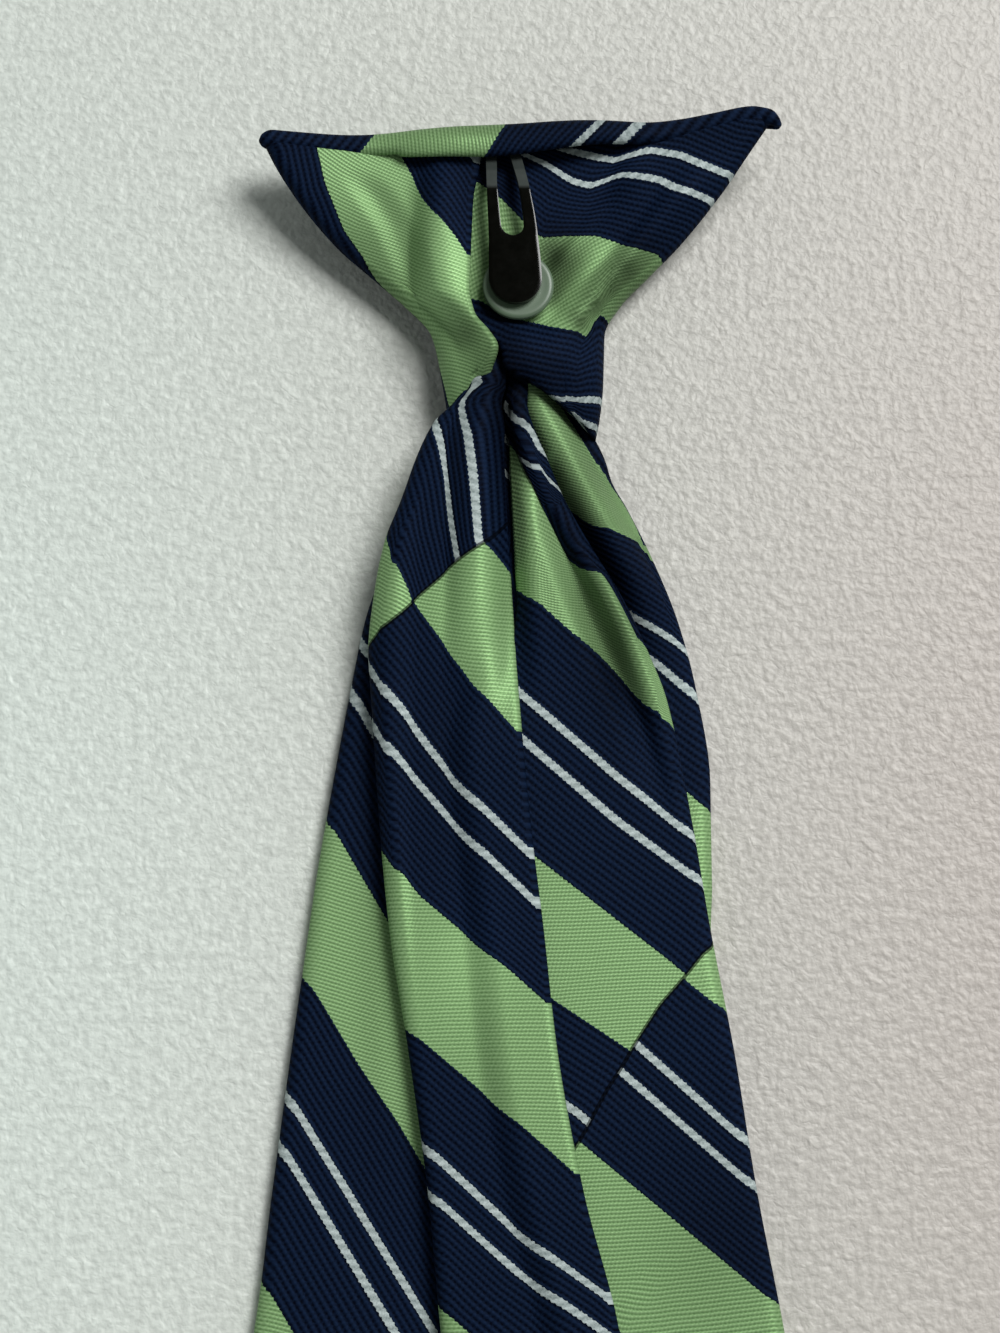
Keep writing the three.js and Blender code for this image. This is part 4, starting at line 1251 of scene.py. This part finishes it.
# Painted shade: where the tones pass from left to right, and how the table darkens beyond the top
FALLOFF_CENTRE_Y, FALLOFF_FADE, FALLOFF_SLOPE = 0.17, 30.0, 7.5
TOP_FROM, TOP_SLOPE, TOP_SHADE = 0.1, 6.5, 0.17


def pebbled(tree, calc, coordinates):
    """The height of the table's grain, between 0 and 1."""
    middled = lambda value: calc("SUBTRACT", value, 0.5)
    rings = calc("ABSOLUTE", middled(cloudy(tree, coordinates, 700.0, 2.0, 0.3)))
    rings = calc("MINIMUM", calc("MULTIPLY", rings, 4.0), 1.0)
    grain = cloudy(tree, coordinates, 1900.0, 3.0)
    pebbles = calc("MULTIPLY_ADD", middled(cloudy(tree, coordinates, 820.0, 1.0)), 2.6, 0.5)
    relief = calc("MULTIPLY_ADD", rings, 0.25, calc("MULTIPLY", grain, 0.35))
    return calc("MULTIPLY_ADD", clamped(calc, pebbles), 0.4, relief)


def light_falloff(calc, parts):
    """How far to the right, and how far beyond the top, each place counts for the painted shade."""
    from_knot = calc("SUBTRACT", parts["Y"], FALLOFF_CENTRE_Y)
    squared = lambda value: calc("MULTIPLY", value, value)
    apart = calc("ADD", squared(parts["X"]), squared(from_knot))
    near = calc("DIVIDE", 1.0, calc("MULTIPLY_ADD", apart, FALLOFF_FADE, 1.0))
    rightness = calc("MULTIPLY", calc("MULTIPLY", parts["X"], FALLOFF_SLOPE), squared(near))
    topness = calc("MULTIPLY", calc("SUBTRACT", parts["Y"], TOP_FROM), TOP_SLOPE)
    return clamped(calc, calc("ADD", rightness, 0.5)), calc("MULTIPLY", clamped(calc, topness), near)


def table():
    corners = [(x * TABLE_HALF, y * TABLE_HALF, 0) for x, y in ((-1, -1), (1, -1), (1, 1), (-1, 1))]
    floor = new_piece("table_top", corners, [(0, 1, 2, 3)], {})
    material, tree, shader = new_material("pale_table")
    calc = shorthand(tree)
    coordinates = on_piece(tree)
    relief = pebbled(tree, calc, coordinates)
    rightness, topness = light_falloff(calc, parts_of(tree, coordinates))
    dark, light = (blended(tree, rightness, *pair) for pair in (TABLE_DARK, TABLE_LIGHT))
    tone = blended(tree, relief, dark, light)
    # Painted shade beyond the top
    tone = blended(tree, calc("MULTIPLY", topness, TOP_SHADE), tone, (0.0, 0.0, 0.0))
    specks = tree.nodes.new("ShaderNodeTexVoronoi")
    specks.inputs["Scale"].default_value = 26.0
    tree.links.new(coordinates, specks.inputs["Vector"])
    speck = calc("LESS_THAN", specks.outputs["Distance"], SPECK_SIZE)
    tree.links.new(blended(tree, speck, tone, SPECK_COLOUR), shader.inputs["Base Color"])
    shader.inputs["Roughness"].default_value = 0.5
    raise_by(tree, shader, relief, strength=0.8, distance=0.25 * MM)
    floor.data.materials.append(material)
    return floor


floor = table()
floor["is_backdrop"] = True
print("table is", 2 * TABLE_HALF, "mm across")

# %% [markdown]
# ## The light
# One soft lamp, half a metre wide, stands above and to the right, beyond the knot, and throws the soft
# shadow to the left of it. The rest of the light comes from a bright room. Its ceiling is dim, because
# a bright one straight above would wash out the satin.

# %% Light
WALL_COLOUR, CEILING_COLOUR = (0.43, 0.465, 0.45), (0.03, 0.03, 0.03)
CEILING_FROM = (0.55, 0.93)  # between these heights on the sky the walls pass into the ceiling


def soft_lamp(name, place, aim_at, size, watts, colour):
    lamp = bpy.data.objects.new(name, bpy.data.lights.new(name, "AREA"))
    lamp.data.size = size
    lamp.data.energy = watts
    lamp.data.color = colour
    lamp.location = place
    lamp.rotation_mode = "QUATERNION"
    lamp.rotation_quaternion = (Vector(aim_at) - Vector(place)).to_track_quat("-Z", "Y")
    bpy.context.scene.collection.objects.link(lamp)
    return lamp


def room_light():
    """A bright room with a dim ceiling."""
    world = bpy.data.worlds.new("bright_room")
    world.use_nodes = True
    tree = world.node_tree
    coordinates = tree.nodes.new("ShaderNodeTexCoord")
    height = parts_of(tree, coordinates.outputs["Generated"])["Z"]
    shoulder = tree.nodes.new("ShaderNodeMapRange")
    shoulder.interpolation_type = "SMOOTHSTEP"
    shoulder.inputs["From Min"].default_value, shoulder.inputs["From Max"].default_value = CEILING_FROM
    tree.links.new(height, shoulder.inputs["Value"])
    room = blended(tree, shoulder.outputs["Result"], WALL_COLOUR, CEILING_COLOUR)
    tree.links.new(room, tree.nodes["Background"].inputs["Color"])
    return world


soft_lamp(
    "window_light", place=(0.48, 0.66, 0.92), aim_at=(0, 0.14, 0), size=0.5, watts=15.2,
    colour=(0.99, 1.0, 0.985),
)
bpy.context.scene.world = room_light()
bpy.context.scene.view_settings.view_transform = "Standard"

# %% [markdown]
# ## Sizes
# The looks may stand a little proud of the imported model. Both boxes are printed.

# %% Finish
low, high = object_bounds()
sizes = {"cad": [list(cad_low), list(cad_high)], "visual": [list(low), list(high)]}
for name, (lowest, highest) in sizes.items():
    print(name, [round(v, 4) for v in (*lowest, *highest)])
